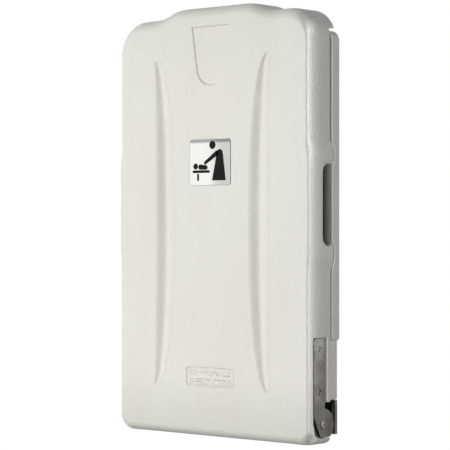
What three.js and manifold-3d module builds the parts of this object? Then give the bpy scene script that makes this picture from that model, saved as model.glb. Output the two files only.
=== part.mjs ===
// Wall-mounted vertical baby changing station, drawn closed.
// Millimetres, +Z up, +X to the right of someone facing it, front towards -Y.
// The wall is the plane Y = 0 and the origin is on the wall, in the middle of the back plate.
// Depth always means distance out from the wall, so Y = -depth.

import * as THREE from 'three';
import { mergeVertices } from 'three/addons/utils/BufferGeometryUtils.js';
import Module from 'manifold-3d';

const wasm = await Module();
wasm.setup();

// Overall sizes
const closedDepth = 98;
const shoulderHeight = 444;
const footHeight = -439;
const halfWidth = 265.5;

// Bed outline
const upperTaper = 1.5;
const gripSwell = 2.6;
const crownRise = 18.5;
const crownHalfWidth = 81;
const crownRampHalfWidth = 176;
const shoulderRadius = 62;
const footRadius = 28;
const swellMargin = 8;
const upperSwellLength = 45;
const lowerSwellLength = 52;

// Bed shell
const bedWall = 4;
const rimDepth = 28;
const lipDepth = 12;
const lipDrop = 41;
const edgeReach = 18;
const edgeRise = 36;
const rearFootRadius = 15;

// Front relief: crescent grooves, shield recess, sign plate, embossed panel
const grooveEndMargin = 95;
const grooveLift = 7;
const grooveTipOffset = 158.5;
const grooveOuterBow = 3;
const grooveInnerBow = 54.5;
const grooveFullness = 2.2;
const grooveCut = 8;
const shieldDrop = 43;
const shieldHeight = 122.5;
const shieldHalfTop = 52;
const shieldHalfBottom = 39;
const shieldCut = 1.2;
const signWidth = 112.5;
const signHeight = 95.4;
const signCorner = 5;
const signThickness = 1.1;
const signDrop = 308.5;
const signSeat = 1.2;
const panelWidth = 132;
const panelHeight = 37;
const panelCorner = 6;
const panelLift = 126;
const panelCut = 0.8;

// Finger grips in both sides of the bed
const gripTop = 128;
const gripBottom = -37;
const gripDepth = 58.5;
const gripCorner = 17;
const gripPocket = 29;
const cupWall = 3;
const earOffset = 16;
const earOut = 5;
const earReach = 22;
const earHalfHeight = 34;

// Changing tray
const trayWall = 4;
const trayFlange = 5;
const trayFootRoom = 26;
const sideRail = 52;
const headRail = 59;
const footRail = 108;
const bedThickness = 24;
const basinCorner = 72;
const basinReach = 24;
const basinRise = 30;

// Hinge
const pivotSetIn = 18.8;
const pivotLift = 41;
const armThickness = 4;
const armInset = 4.4;
const armLength = 175;
const armAhead = 29.3;
const armBehind = -3.4;
const armCorner = 7;
const armLobe = 33;
const armFootDrop = 25.5;
const armDiagonalRise = 15;
const armDiagonalReach = 8.5;
const armNotch = 8;
const armRecessFrontRoom = 5;
const armRecessRearRoom = 2.7;
const armRecessBend = 5;
const armRecessFootRoom = 4;
const padClearance = 4;
const armScrewSetIn = 16.8;
const armScrewDrops = [22, 108];
const armScrewHead = 5.2;
const armScrewHeadHeight = 2.4;
const armScrewShank = 2.6;
const armScrewLength = 11;
const pivotScrewHead = 9;
const pivotScrewHeadHeight = 2.8;
const pivotScrewShank = 4;
const pivotScrewBite = 28;
const washerThickness = 1;
const washerRadius = 13;
const cheekThickness = 4;
const cheekRadius = 34;
const bushWall = 2.7;
const hingeRodRadius = 7;
const blockThickness = 4.8;
const blockFrontRoom = 7;
const blockTopRoom = 10;

// Wall bracket
const bracketRise = 47;
const bracketDrop = 22;
const bracketShelfRoom = 20;
const bracketShoulderDrop = 37;
const bracketFlange = 3;
const bracketFlangeWidth = 57.6;
const railThickness = 2.5;

// Gas spring in the left rail of the bed
const studRadius = 4;
const studArm = 22;
const studStart = -Math.PI / 4;
const yokeThickness = 6;
const yokeWall = 3;
const gasRodRadius = 4;
const gasRodReach = 101;
const cylinderRadius = 10;
const cylinderLift = 52;
const cylinderLength = 221;
const cylinderBoreLength = 105;
const eyeStem = 20;
const eyeRadius = 8;
const anchorPinRadius = 4;
const anchorHalfWidth = 13;
const anchorHalfHeight = 16;

// Wall shell and back plate
const shellLipRoom = 3;
const shellBracketRoom = 0.5;
const shellWaistInset = 6;
const shellWaistDrop = 1;
const shellWaistLength = 9;
const shellTopRadius = 22;
const shellBottomRadius = 7;
const shellWall = 3.5;
const shellEdge = 2.5;
const seam = 3;
const backPlateThickness = 3;

// Liner dispenser in the wall shell
const linerDrop = 100;
const linerHeight = 240;
const linerHalfWidth = 120;
const linerCorner = 14;
const linerOverlap = 6;
const linerSlotHalfWidth = 80;
const linerSlotHeight = 15;
const linerSlotLift = 36;
const lockDrop = 26;
const lockRadius = 8;
const lockHeadRadius = 11;
const lockHeadHeight = 2.5;
const lockBodyLength = 10;
const keywayHalfWidth = 1;
const keywayHalfHeight = 4.5;
const keywayFloor = 1;
const camLength = 46;
const camWidth = 10;
const camThickness = 3;

// Safety strap across the tray
const strapHeight = -20;
const strapWidth = 38;
const strapThickness = 1.6;
const strapEndMargin = 6;
const anchorPlateLength = 28;
const anchorPlateOverhang = 4;
const anchorPlateThickness = 4;
const anchorScrewRadius = 2.5;
const anchorScrewHead = 5;
const anchorScrewHeadHeight = 2.4;
const buckleHalfLength = 30;
const buckleSideRoom = 5;
const buckleThickness = 11;
const buckleWall = 2.4;
const buckleSplit = 6;
const buckleCorner = 6;
const tongueLength = 22;

// Screws that hold the tray to bosses inside the cover
const trayScrewTopOffset = 150;
const trayScrewTopDrop = 32;
const trayScrewSideSetIn = 24;
const trayScrewSideDrop = 35;
const trayScrewFootOffset = 120;
const trayScrewFootLift = 76;
const trayScrewHead = 5;
const trayScrewHeadHeight = 2.6;
const trayScrewShank = 2.2;
const trayScrewLength = 24;
const bossRadius = 7;

// Wall screws and bumpers
const plateScrewSetIn = 82;
const plateScrewTopDrop = 60;
const plateScrewFootLift = 69;
const bracketScrewSetIns = [17, 40];
const wallScrewHead = 6;
const wallScrewHeadHeight = 2.4;
const wallScrewShank = 3;
const bumperSetIn = 25;
const bumperTopDrop = 60;
const bumperFootLift = 32;
const bumperRadius = 7;
const bumperSeat = 2;
const bumperRoom = 0.4;

// Fits
const gap = 0.3;
const tipRoom = 2;
const weldBite = 1;
const runningGap = 0.3;
const slideGap = 0.5;
const swingGap = 0.8;

// Smoothness
const curveSteps = 3;
const edgeSteps = 4;
const smallEdgeSteps = 1;
const roundSides = 20;
const smallSides = 10;
const grooveSides = 56;
const grooveRings = 16;

// Room added to a cutting tool where it leaves the piece
const over = 20;

// Bed places that follow from the sizes above
const crownHeight = shoulderHeight + crownRise;
const halfWidthUpper = halfWidth - upperTaper;
const halfWidthGrip = halfWidth + gripSwell;
const upperSwellEnd = gripTop + swellMargin;
const upperSwellStart = upperSwellEnd + upperSwellLength;
const lowerSwellEnd = gripBottom - swellMargin;
const lowerSwellStart = lowerSwellEnd - lowerSwellLength;
const lipFootHeight = shoulderHeight - lipDrop;
const grooveHalfLength = (shoulderHeight - footHeight) / 2 - grooveEndMargin;
const grooveCentreHeight = (shoulderHeight + footHeight) / 2 + grooveLift;
const shieldTop = crownHeight - shieldDrop;
const shieldBottom = shieldTop - shieldHeight;
const signCentreHeight = shoulderHeight - signDrop;
const panelCentreHeight = footHeight + panelLift;
const basinHalfWidth = halfWidth - sideRail;
const basinTop = shoulderHeight - headRail;
const basinBottom = footHeight + footRail;
const basinFloorDepth = closedDepth - bedThickness;
const trayBottom = footHeight + trayFootRoom;
const trayRimDepth = rimDepth + gap;
const traySeatDepth = trayRimDepth + trayFlange;

// Hinge places
const pivotDepth = rimDepth + pivotSetIn;
const pivotHeight = footHeight + pivotLift;
const armOuter = halfWidth - armInset;
const armInner = armOuter - armThickness;
const armTop = pivotHeight + armLength;
const armFront = pivotDepth + armAhead;
const armRear = pivotDepth + armBehind;
const armFoot = pivotHeight - armFootDrop;
const armDiagonalTop = pivotHeight + armDiagonalRise;
const armDiagonalFoot = pivotDepth + armDiagonalReach;
const armRecessFront = armFront + armRecessFrontRoom;
const armRecessRear = armRear - armRecessRearRoom;
const armScrewDepth = armRear + armScrewSetIn;
const armScrewHeights = armScrewDrops.map((drop) => armTop - drop);
const washerInner = armInner - gap - washerThickness;
const cheekOuter = washerInner - gap;
const cheekInner = cheekOuter - cheekThickness;
const slotFloor = cheekInner - swingGap;
const hingeRodEnd = slotFloor - swingGap;
const blockInner = slotFloor - blockThickness;
const blockFront = armFront + blockFrontRoom;
const blockTop = armTop + blockTopRoom;
const bracketTop = pivotHeight + bracketRise;
const bracketFoot = pivotHeight - bracketDrop;
const bracketShelf = rimDepth - bracketShelfRoom;
const bracketFlangeInner = cheekOuter - bracketFlangeWidth;
const bracketEdgeOuter = halfWidth - shellWaistInset;

// Gas spring places
const springX = cylinderRadius + gap - blockInner;
const gasRodTop = pivotHeight + gasRodReach;
const cylinderFoot = pivotHeight + cylinderLift;
const cylinderTop = cylinderFoot + cylinderLength;
const cylinderBoreTop = cylinderFoot + cylinderBoreLength;
const eyeHeight = cylinderTop + eyeStem;
const yokeDepth = pivotDepth + studArm * (1 + Math.cos(studStart)) / 2;
const yokeSlotHalfLength = studArm * (1 - Math.cos(studStart)) / 2 + studRadius + slideGap;
const studSway = 0.03 * studArm;
const yokeSlotHalfHeight = studRadius + studSway + slideGap;
const yokeHeight = pivotHeight + studArm * Math.sin(studStart);

// Wall shell, dispenser and strap places
const shellFrontDepth = rimDepth - seam;
const shellTop = lipFootHeight - shellLipRoom;
const bumperThickness = bumperSeat + seam - bumperRoom;
const shellBottom = bracketTop + shellBracketRoom;
const shellHalfWidth = halfWidth;
const shellWaistTop = armTop - shellWaistDrop;
const shellWaistFoot = shellWaistTop - shellWaistLength;
const linerTop = shellTop - linerDrop;
const linerBottom = linerTop - linerHeight;
const linerSlotCentre = linerBottom + linerSlotLift;
const lockHeight = linerTop - lockDrop;
const strapFar = basinFloorDepth - gap;
const strapNear = strapFar - strapThickness;
const strapHalfSpan = basinHalfWidth - basinReach - anchorPlateLength / 2 - strapEndMargin;
const buckleHalfHeight = strapWidth / 2 + buckleSideRoom;

// Screw and bumper places on the right-hand side, as X and height
const trayScrewPlaces = [
  [trayScrewTopOffset, shoulderHeight - trayScrewTopDrop],
  [halfWidth - trayScrewSideSetIn, gripBottom - trayScrewSideDrop],
  [trayScrewFootOffset, footHeight + trayScrewFootLift],
];
const plateScrewPlaces = [
  [halfWidth - plateScrewSetIn, shellTop - plateScrewTopDrop],
  [halfWidth - plateScrewSetIn, shellBottom + plateScrewFootLift],
];
const bracketScrewPlaces = bracketScrewSetIns.map((setIn) => bracketFlangeInner + setIn);
const bumperPlaces = [
  [halfWidth - bumperSetIn, shellTop - bumperTopDrop],
  [halfWidth - bumperSetIn, armTop + bumperFootLift],
];
const sides = { left: -1, right: 1 };

// Materials
function finish(color, roughness, metalness) {
  return new THREE.MeshStandardMaterial({ color, roughness, metalness });
}
const palePlastic = finish(0xe3e3dd, 0.6, 0);
const greyPlastic = finish(0x8d8d89, 0.6, 0);
const brushedSteel = finish(0x9a9994, 0.4, 1);
const darkSteel = finish(0x55554f, 0.45, 1);
const signSteel = finish(0xb9b9b6, 0.35, 1);
const blackPlastic = finish(0x1d1d1e, 0.5, 0);
const webbing = finish(0x2a2c30, 0.9, 0);
const rubber = finish(0x242424, 0.85, 0);
const bearingPlastic = finish(0xd8d2bd, 0.5, 0);

// Turn a closed geometry into a solid that can be joined and cut
function solid(geometry) {
  const bare = geometry.clone();
  bare.deleteAttribute('normal');
  bare.deleteAttribute('uv');
  const merged = mergeVertices(bare, 1e-4);
  const triangles = [];
  for (let i = 0; i < merged.index.count; i += 3) {
    const [a, b, c] = [0, 1, 2].map((k) => merged.index.getX(i + k));
    if (a !== b && b !== c && a !== c) {
      triangles.push(a, b, c);
    }
  }
  return new wasm.Manifold(new wasm.Mesh({
    numProp: 3,
    vertProperties: new Float32Array(merged.attributes.position.array),
    triVerts: new Uint32Array(triangles),
  }));
}

// Turn a solid into a named mesh and add it to the station
const station = new THREE.Group();
function place(name, body, material) {
  const mesh = body.getMesh();
  const geometry = new THREE.BufferGeometry();
  geometry.setAttribute('position', new THREE.BufferAttribute(new Float32Array(mesh.vertProperties), 3));
  geometry.setIndex(new THREE.BufferAttribute(new Uint32Array(mesh.triVerts), 1));
  geometry.computeVertexNormals();
  const node = new THREE.Mesh(geometry, material);
  node.name = name;
  station.add(node);
}

// A front-view outline (X, Z) pushed out from the wall between two depths
function frontPrism(shape, near, far) {
  const geometry = new THREE.ExtrudeGeometry(shape, {
    depth: far - near,
    bevelEnabled: false,
    curveSegments: curveSteps,
  });
  geometry.translate(0, 0, near);
  geometry.rotateX(Math.PI / 2);
  return solid(geometry);
}

// The same with its front edge rounded: the outline is drawn in by inset all round,
// and the rounding reaches in from it by reach and back from the front by rise.
// Its back has the same rounding, behind the near depth, which callers trim away.
function roundedPrism(shape, near, far, inset, reach, rise, steps = edgeSteps) {
  const geometry = new THREE.ExtrudeGeometry(shape, {
    depth: far - rise - near,
    bevelEnabled: true,
    bevelThickness: rise,
    bevelSize: reach,
    bevelOffset: -reach - inset,
    bevelSegments: steps,
    curveSegments: curveSteps,
  });
  geometry.translate(0, 0, near);
  geometry.rotateX(Math.PI / 2);
  return solid(geometry);
}

// A side-view outline (depth, Z) pushed out along X on one side of the station
const sideBasis = new THREE.Matrix4().makeBasis(
  new THREE.Vector3(0, -1, 0),
  new THREE.Vector3(0, 0, 1),
  new THREE.Vector3(-1, 0, 0),
);
function sidePrism(shape, inner, outer, side) {
  const geometry = new THREE.ExtrudeGeometry(shape, {
    depth: outer - inner,
    bevelEnabled: false,
    curveSegments: curveSteps,
  });
  geometry.translate(0, 0, side > 0 ? -outer : inner);
  geometry.applyMatrix4(sideBasis);
  return solid(geometry);
}

function box(left, right, near, far, low, high) {
  const geometry = new THREE.BoxGeometry(right - left, far - near, high - low);
  geometry.translate((left + right) / 2, -(near + far) / 2, (low + high) / 2);
  return solid(geometry);
}

function sideBox(inner, outer, near, far, low, high, side) {
  return side > 0 ? box(inner, outer, near, far, low, high) : box(-outer, -inner, near, far, low, high);
}

// Round bars along X, along the depth, and upright
function barAlongX(radius, inner, outer, depth, height, side, count = roundSides) {
  const geometry = new THREE.CylinderGeometry(radius, radius, outer - inner, count);
  geometry.rotateZ(Math.PI / 2);
  geometry.translate(side * (inner + outer) / 2, -depth, height);
  return solid(geometry);
}

function barAlongDepth(radius, near, far, x, height, count = smallSides) {
  const geometry = new THREE.CylinderGeometry(radius, radius, far - near, count);
  geometry.translate(x, -(near + far) / 2, height);
  return solid(geometry);
}

function uprightBar(radius, low, high, x, depth) {
  const geometry = new THREE.CylinderGeometry(radius, radius, high - low, roundSides);
  geometry.rotateX(Math.PI / 2);
  geometry.translate(x, -depth, (low + high) / 2);
  return solid(geometry);
}

function roundedRectangle(left, right, low, high, radius) {
  const shape = new THREE.Shape();
  shape.moveTo(left + radius, low);
  shape.lineTo(right - radius, low);
  shape.absarc(right - radius, low + radius, radius, -Math.PI / 2, 0);
  shape.lineTo(right, high - radius);
  shape.absarc(right - radius, high - radius, radius, 0, Math.PI / 2);
  shape.lineTo(left + radius, high);
  shape.absarc(left + radius, high - radius, radius, Math.PI / 2, Math.PI);
  shape.lineTo(left, low + radius);
  shape.absarc(left + radius, low + radius, radius, Math.PI, 1.5 * Math.PI);
  return shape;
}

// A smooth step between two points, level (or upright) at both ends
function smoothStep(shape, fromX, fromZ, toX, toZ, upright) {
  const midX = (fromX + toX) / 2;
  const midZ = (fromZ + toZ) / 2;
  if (upright) {
    shape.bezierCurveTo(fromX, midZ, toX, midZ, toX, toZ);
  } else {
    shape.bezierCurveTo(midX, fromZ, midX, toZ, toX, toZ);
  }
}

// Front outline of the bed: swollen at the grips, with a crown in the middle of the top
function bedOutline() {
  const shape = new THREE.Shape();
  shape.moveTo(-halfWidth + footRadius, footHeight);
  shape.lineTo(halfWidth - footRadius, footHeight);
  shape.absarc(halfWidth - footRadius, footHeight + footRadius, footRadius, -Math.PI / 2, 0);
  shape.lineTo(halfWidth, lowerSwellStart);
  smoothStep(shape, halfWidth, lowerSwellStart, halfWidthGrip, lowerSwellEnd, true);
  shape.lineTo(halfWidthGrip, upperSwellEnd);
  smoothStep(shape, halfWidthGrip, upperSwellEnd, halfWidthUpper, upperSwellStart, true);
  shape.lineTo(halfWidthUpper, shoulderHeight - shoulderRadius);
  shape.absarc(
    halfWidthUpper - shoulderRadius, shoulderHeight - shoulderRadius, shoulderRadius, 0, Math.PI / 2);
  shape.lineTo(crownRampHalfWidth, shoulderHeight);
  smoothStep(shape, crownRampHalfWidth, shoulderHeight, crownHalfWidth, crownHeight, false);
  shape.lineTo(-crownHalfWidth, crownHeight);
  smoothStep(shape, -crownHalfWidth, crownHeight, -crownRampHalfWidth, shoulderHeight, false);
  shape.lineTo(-halfWidthUpper + shoulderRadius, shoulderHeight);
  shape.absarc(
    -halfWidthUpper + shoulderRadius, shoulderHeight - shoulderRadius, shoulderRadius, Math.PI / 2, Math.PI);
  shape.lineTo(-halfWidthUpper, upperSwellStart);
  smoothStep(shape, -halfWidthUpper, upperSwellStart, -halfWidthGrip, upperSwellEnd, true);
  shape.lineTo(-halfWidthGrip, lowerSwellEnd);
  smoothStep(shape, -halfWidthGrip, lowerSwellEnd, -halfWidth, lowerSwellStart, true);
  shape.lineTo(-halfWidth, footHeight + footRadius);
  shape.absarc(-halfWidth + footRadius, footHeight + footRadius, footRadius, Math.PI, 1.5 * Math.PI);
  return shape;
}

// A long spindle, bowed sideways, that cuts one crescent groove when its flank dips into the front
function grooveSpindle(side, sink) {
  const halfWidth = (grooveInnerBow - grooveOuterBow) / 2;
  const standOff = (halfWidth ** 2 - grooveCut ** 2) / (2 * grooveCut);
  const fullness = (t) => Math.max(0, 1 - Math.abs(t) ** grooveFullness) ** (1 / grooveFullness);
  const profile = [new THREE.Vector2(0, -grooveHalfLength)];
  for (let i = 0; i <= grooveRings; i += 1) {
    const t = -Math.cos(Math.PI * i / grooveRings);
    profile.push(new THREE.Vector2(Math.hypot(standOff, halfWidth * fullness(t)), t * grooveHalfLength));
  }
  profile.push(new THREE.Vector2(0, grooveHalfLength));
  const geometry = new THREE.LatheGeometry(profile, grooveSides);
  geometry.rotateX(Math.PI / 2);
  const position = geometry.attributes.position;
  const bow = (grooveInnerBow + grooveOuterBow) / 2;
  for (let i = 0; i < position.count; i += 1) {
    const t = position.getZ(i) / grooveHalfLength;
    position.setX(i, position.getX(i) + side * (grooveTipOffset - bow * fullness(t)));
  }
  geometry.translate(0, -closedDepth - standOff + sink, grooveCentreHeight);
  return solid(geometry);
}

function shieldOutline() {
  const shape = new THREE.Shape();
  const arcHeight = shieldBottom + shieldHalfBottom;
  shape.moveTo(-shieldHalfTop, shieldTop);
  shape.lineTo(-shieldHalfBottom, arcHeight);
  shape.absarc(0, arcHeight, shieldHalfBottom, Math.PI, 2 * Math.PI);
  shape.lineTo(shieldHalfTop, shieldTop);
  return shape;
}

// Side profile of a finger grip, open towards the wall, grown by margin
function gripProfile(margin, rear) {
  const low = gripBottom - margin;
  const high = gripTop + margin;
  const front = gripDepth + margin;
  const radius = gripCorner + margin;
  const shape = new THREE.Shape();
  shape.moveTo(rear, low);
  shape.lineTo(front - radius, low);
  shape.absarc(front - radius, low + radius, radius, -Math.PI / 2, 0);
  shape.lineTo(front, high - radius);
  shape.absarc(front - radius, high - radius, radius, 0, Math.PI / 2);
  shape.lineTo(rear, high);
  return shape;
}

// Side profile of the steel hinge arm: an upright strap on a foot whose lobe is round the pivot
function armProfile() {
  const shape = new THREE.Shape();
  const footAngle = Math.PI + Math.asin((pivotHeight - armFoot) / armLobe);
  const notchCentre = armRear - armNotch;
  const notchAngle = Math.PI / 2 + Math.asin((pivotDepth - notchCentre) / armLobe);
  const lobeTop = pivotHeight + armLobe * Math.sin(notchAngle);
  shape.moveTo(armRear + armCorner, armTop);
  shape.lineTo(armFront - armCorner, armTop);
  shape.absarc(armFront - armCorner, armTop - armCorner, armCorner, Math.PI / 2, 0, true);
  shape.lineTo(armFront, armDiagonalTop);
  shape.lineTo(armDiagonalFoot, armFoot);
  shape.lineTo(pivotDepth + armLobe * Math.cos(footAngle), armFoot);
  shape.absarc(pivotDepth, pivotHeight, armLobe, footAngle, notchAngle, true);
  shape.absarc(notchCentre, lobeTop + armNotch, armNotch, -Math.PI / 2, 0);
  shape.lineTo(armRear, armTop - armCorner);
  shape.absarc(armRear + armCorner, armTop - armCorner, armCorner, Math.PI, Math.PI / 2, true);
  return shape;
}

// Side profile of the shallow recess that the arm lies in, open towards the wall below the pad
function armRecessProfile() {
  const shape = new THREE.Shape();
  const padFoot = pivotHeight + armLobe + armNotch + padClearance;
  const footLine = armFoot - swingGap;
  shape.moveTo(armRecessRear, armTop + swingGap);
  shape.lineTo(armRecessFront, armTop + swingGap);
  shape.lineTo(armRecessFront, pivotHeight);
  shape.quadraticCurveTo(
    armRecessFront - armRecessBend, footLine + armRecessBend, armDiagonalFoot + armRecessFootRoom, footLine);
  shape.lineTo(-over, footLine);
  shape.lineTo(-over, padFoot);
  shape.lineTo(armRecessRear, padFoot);
  return shape;
}

// Side profile of the bracket's cheek: a web from the wall to a round lobe about the pivot
function cheekProfile() {
  const shape = new THREE.Shape();
  const shoulder = bracketTop - bracketShoulderDrop;
  const startAngle = Math.PI - Math.asin((shoulder - pivotHeight) / cheekRadius);
  const endAngle = -Math.asin((pivotHeight - bracketFoot) / cheekRadius);
  shape.moveTo(0, bracketFoot);
  shape.lineTo(0, bracketTop);
  shape.lineTo(bracketShelf, bracketTop);
  shape.absarc(pivotDepth, pivotHeight, cheekRadius, startAngle, endAngle, true);
  return shape;
}

// Corner that the rounded rear foot of the bed gives up, so that it clears the wall as it swings
function rearFootCorner() {
  const shape = new THREE.Shape();
  const centreDepth = rimDepth + rearFootRadius;
  const centreHeight = footHeight + rearFootRadius;
  shape.moveTo(rimDepth - over, footHeight - over);
  shape.lineTo(centreDepth, footHeight - over);
  shape.lineTo(centreDepth, footHeight);
  shape.absarc(centreDepth, centreHeight, rearFootRadius, -Math.PI / 2, Math.PI, true);
  shape.lineTo(rimDepth - over, centreHeight);
  return shape;
}

const wholeWidth = halfWidthGrip + over;

// Everything that the bracket's cheek sweeps through in the bed as the bed turns about the pivot
function cheekSweep(side) {
  const lobe = barAlongX(cheekRadius + swingGap, slotFloor, armInner - gap, pivotDepth, pivotHeight, side);
  const rear = sideBox(
    slotFloor, armInner - gap, rimDepth - over, pivotDepth,
    footHeight - over, bracketTop + swingGap, side);
  const footReach = pivotHeight - bracketFoot + swingGap;
  const foot = sideBox(
    slotFloor, armInner - gap, rimDepth - over, pivotDepth + footReach,
    footHeight - over, pivotHeight - footReach, side);
  return lobe.add(rear).add(foot);
}

// Slot in the left hinge block for the gas spring's stud, seen in the turning bed
function studSlot() {
  const shape = new THREE.Shape();
  const reach = studRadius + slideGap;
  const swing = -studStart + reach / studArm + slideGap / studArm;
  shape.absarc(pivotDepth, pivotHeight, studArm + reach, -swing, swing);
  shape.absarc(pivotDepth, pivotHeight, studArm - reach, swing, -swing, true);
  return sidePrism(shape, blockInner - over, slotFloor + gap, sides.left);
}

function trayScrewSpots() {
  return trayScrewPlaces.flatMap(([x, height]) => [[-x, height, 'left'], [x, height, 'right']]);
}

// The bed's outside before anything is cut from it, drawn in by inset all round
const bedNear = lipDepth - tipRoom;
function bedBulk(inset) {
  return roundedPrism(bedOutline(), bedNear, closedDepth - inset, inset, edgeReach, edgeRise);
}

// Soft swelling of the rim at one end of a grip, for the fingers to pull against
function gripEar(side, height) {
  const geometry = new THREE.SphereGeometry(1, smallSides, smallSides);
  const halfThickness = earOut + bedWall;
  geometry.scale(halfThickness, earReach, earHalfHeight);
  geometry.translate(side * (halfWidthGrip - bedWall), -rimDepth, height);
  return solid(geometry);
}

// Outer shell of the bed
function makeBedCover() {
  const outer = bedBulk(0);
  let hollow = bedBulk(bedWall);
  for (const side of Object.values(sides)) {
    hollow = hollow.subtract(grooveSpindle(side, bedWall));
  }
  let cover = outer;
  for (const side of Object.values(sides)) {
    cover = cover.add(gripEar(side, gripTop + earOffset)).add(gripEar(side, gripBottom - earOffset));
  }
  cover = cover.subtract(hollow);
  for (const side of Object.values(sides)) {
    const blockSolid = sideBox(blockInner, wholeWidth, lipDepth, blockFront, footHeight, blockTop, side);
    cover = cover.add(blockSolid.intersect(outer));
  }
  for (const [x, height] of trayScrewSpots()) {
    const boss = barAlongDepth(bossRadius, traySeatDepth + gap, closedDepth, x, height);
    cover = cover.add(boss.intersect(outer));
  }
  for (const [x, height] of trayScrewSpots()) {
    const reach = trayScrewLength + trayRimDepth + tipRoom;
    cover = cover.subtract(barAlongDepth(trayScrewShank + gap, lipDepth, reach, x, height));
  }
  cover = cover.subtract(
    box(-wholeWidth, wholeWidth, -closedDepth, rimDepth, footHeight - over, lipFootHeight));
  cover = cover.subtract(
    box(-wholeWidth, wholeWidth, -closedDepth, lipDepth, lipFootHeight - over, crownHeight + over));
  cover = cover.subtract(sidePrism(rearFootCorner(), -wholeWidth, wholeWidth, sides.right));
  for (const side of Object.values(sides)) {
    cover = cover.subtract(grooveSpindle(side, 0));
    cover = cover.subtract(sidePrism(gripProfile(0, 0), halfWidthGrip - gripPocket, wholeWidth, side));
    cover = cover.subtract(sidePrism(armRecessProfile(), armInner - gap, wholeWidth, side));
    cover = cover.subtract(cheekSweep(side));
    cover = cover.subtract(
      barAlongX(hingeRodRadius + gap, blockInner - over, slotFloor + over, pivotDepth, pivotHeight, side));
    for (const height of armScrewHeights) {
      const reach = armOuter - armScrewLength - tipRoom;
      cover = cover.subtract(
        barAlongX(armScrewShank + gap, reach, armOuter, armScrewDepth, height, side, smallSides));
    }
  }
  cover = cover.subtract(studSlot());
  cover = cover.subtract(frontPrism(shieldOutline(), closedDepth - shieldCut, closedDepth + over));
  const signEdge = [signWidth / 2 + gap, signHeight / 2 + gap];
  cover = cover.subtract(frontPrism(
    roundedRectangle(-signEdge[0], signEdge[0],
      signCentreHeight - signEdge[1], signCentreHeight + signEdge[1], signCorner + gap),
    closedDepth - signSeat, closedDepth + over));
  cover = cover.subtract(frontPrism(
    roundedRectangle(-panelWidth / 2, panelWidth / 2, panelCentreHeight - panelHeight / 2,
      panelCentreHeight + panelHeight / 2, panelCorner),
    closedDepth - panelCut, closedDepth + over));
  place('bed_cover', cover, palePlastic);
}

function makeSignPlate() {
  const outline = roundedRectangle(
    -signWidth / 2, signWidth / 2, signCentreHeight - signHeight / 2, signCentreHeight + signHeight / 2,
    signCorner);
  const near = closedDepth - signSeat + gap;
  place('sign_plate', frontPrism(outline, near, near + signThickness), signSteel);
}

// Dished changing surface, a flange that closes the cover with a basin sunk in it
function makeBedTray() {
  const flangeInset = bedWall + gap;
  const basin = roundedRectangle(-basinHalfWidth, basinHalfWidth, basinBottom, basinTop, basinCorner);
  let flange = roundedPrism(
    bedOutline(), trayRimDepth - over, closedDepth + edgeRise, flangeInset, edgeReach, edgeRise);
  flange = flange.intersect(
    box(-wholeWidth, wholeWidth, trayRimDepth, traySeatDepth, trayBottom, crownHeight));
  const underside = roundedPrism(
    basin, trayRimDepth, basinFloorDepth + trayWall, -trayWall, basinReach, basinRise);
  const dish = roundedPrism(basin, trayRimDepth - over, basinFloorDepth, 0, basinReach, basinRise);
  const behind = box(-wholeWidth, wholeWidth, -closedDepth, trayRimDepth, footHeight, crownHeight);
  let tray = flange.add(underside).subtract(dish).subtract(behind);
  for (const side of Object.values(sides)) {
    const cupInner = halfWidthGrip - gripPocket - cupWall - gap;
    tray = tray.subtract(sidePrism(gripProfile(cupWall + gap, 0), cupInner, wholeWidth, side));
    tray = tray.subtract(
      sideBox(blockInner - gap, wholeWidth, 0, closedDepth, footHeight, blockTop + gap, side));
    tray = tray.subtract(barAlongDepth(
      anchorScrewRadius + gap, 0, closedDepth, side * strapHalfSpan, strapHeight));
  }
  for (const [x, height] of trayScrewSpots()) {
    const headSeat = trayRimDepth + trayScrewHeadHeight + gap;
    tray = tray.subtract(barAlongDepth(trayScrewShank + gap, 0, closedDepth, x, height));
    tray = tray.subtract(barAlongDepth(trayScrewHead + gap, 0, headSeat, x, height));
  }
  place('bed_tray', tray, palePlastic);
}

function makeTrayScrews() {
  const spotNames = ['top', 'middle', 'foot'];
  trayScrewSpots().forEach(([x, height, hand], i) => {
    const head = barAlongDepth(trayScrewHead, trayRimDepth, trayRimDepth + trayScrewHeadHeight, x, height);
    const shank = barAlongDepth(trayScrewShank, trayRimDepth, trayRimDepth + trayScrewLength, x, height);
    place(`tray_screw_${spotNames[Math.floor(i / 2)]}_${hand}`, head.add(shank), darkSteel);
  });
}

// Cups that close the finger grips inside the bed
function makeGripCups() {
  for (const [hand, side] of Object.entries(sides)) {
    const inner = halfWidthGrip - gripPocket - cupWall;
    const outer = halfWidthUpper - bedWall - gap;
    const shell = sidePrism(gripProfile(cupWall, trayRimDepth), inner, outer, side);
    const pocket = sidePrism(gripProfile(0, -over), inner + cupWall, outer + over, side);
    place(`grip_cup_${hand}`, shell.subtract(pocket), greyPlastic);
  }
}

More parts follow.
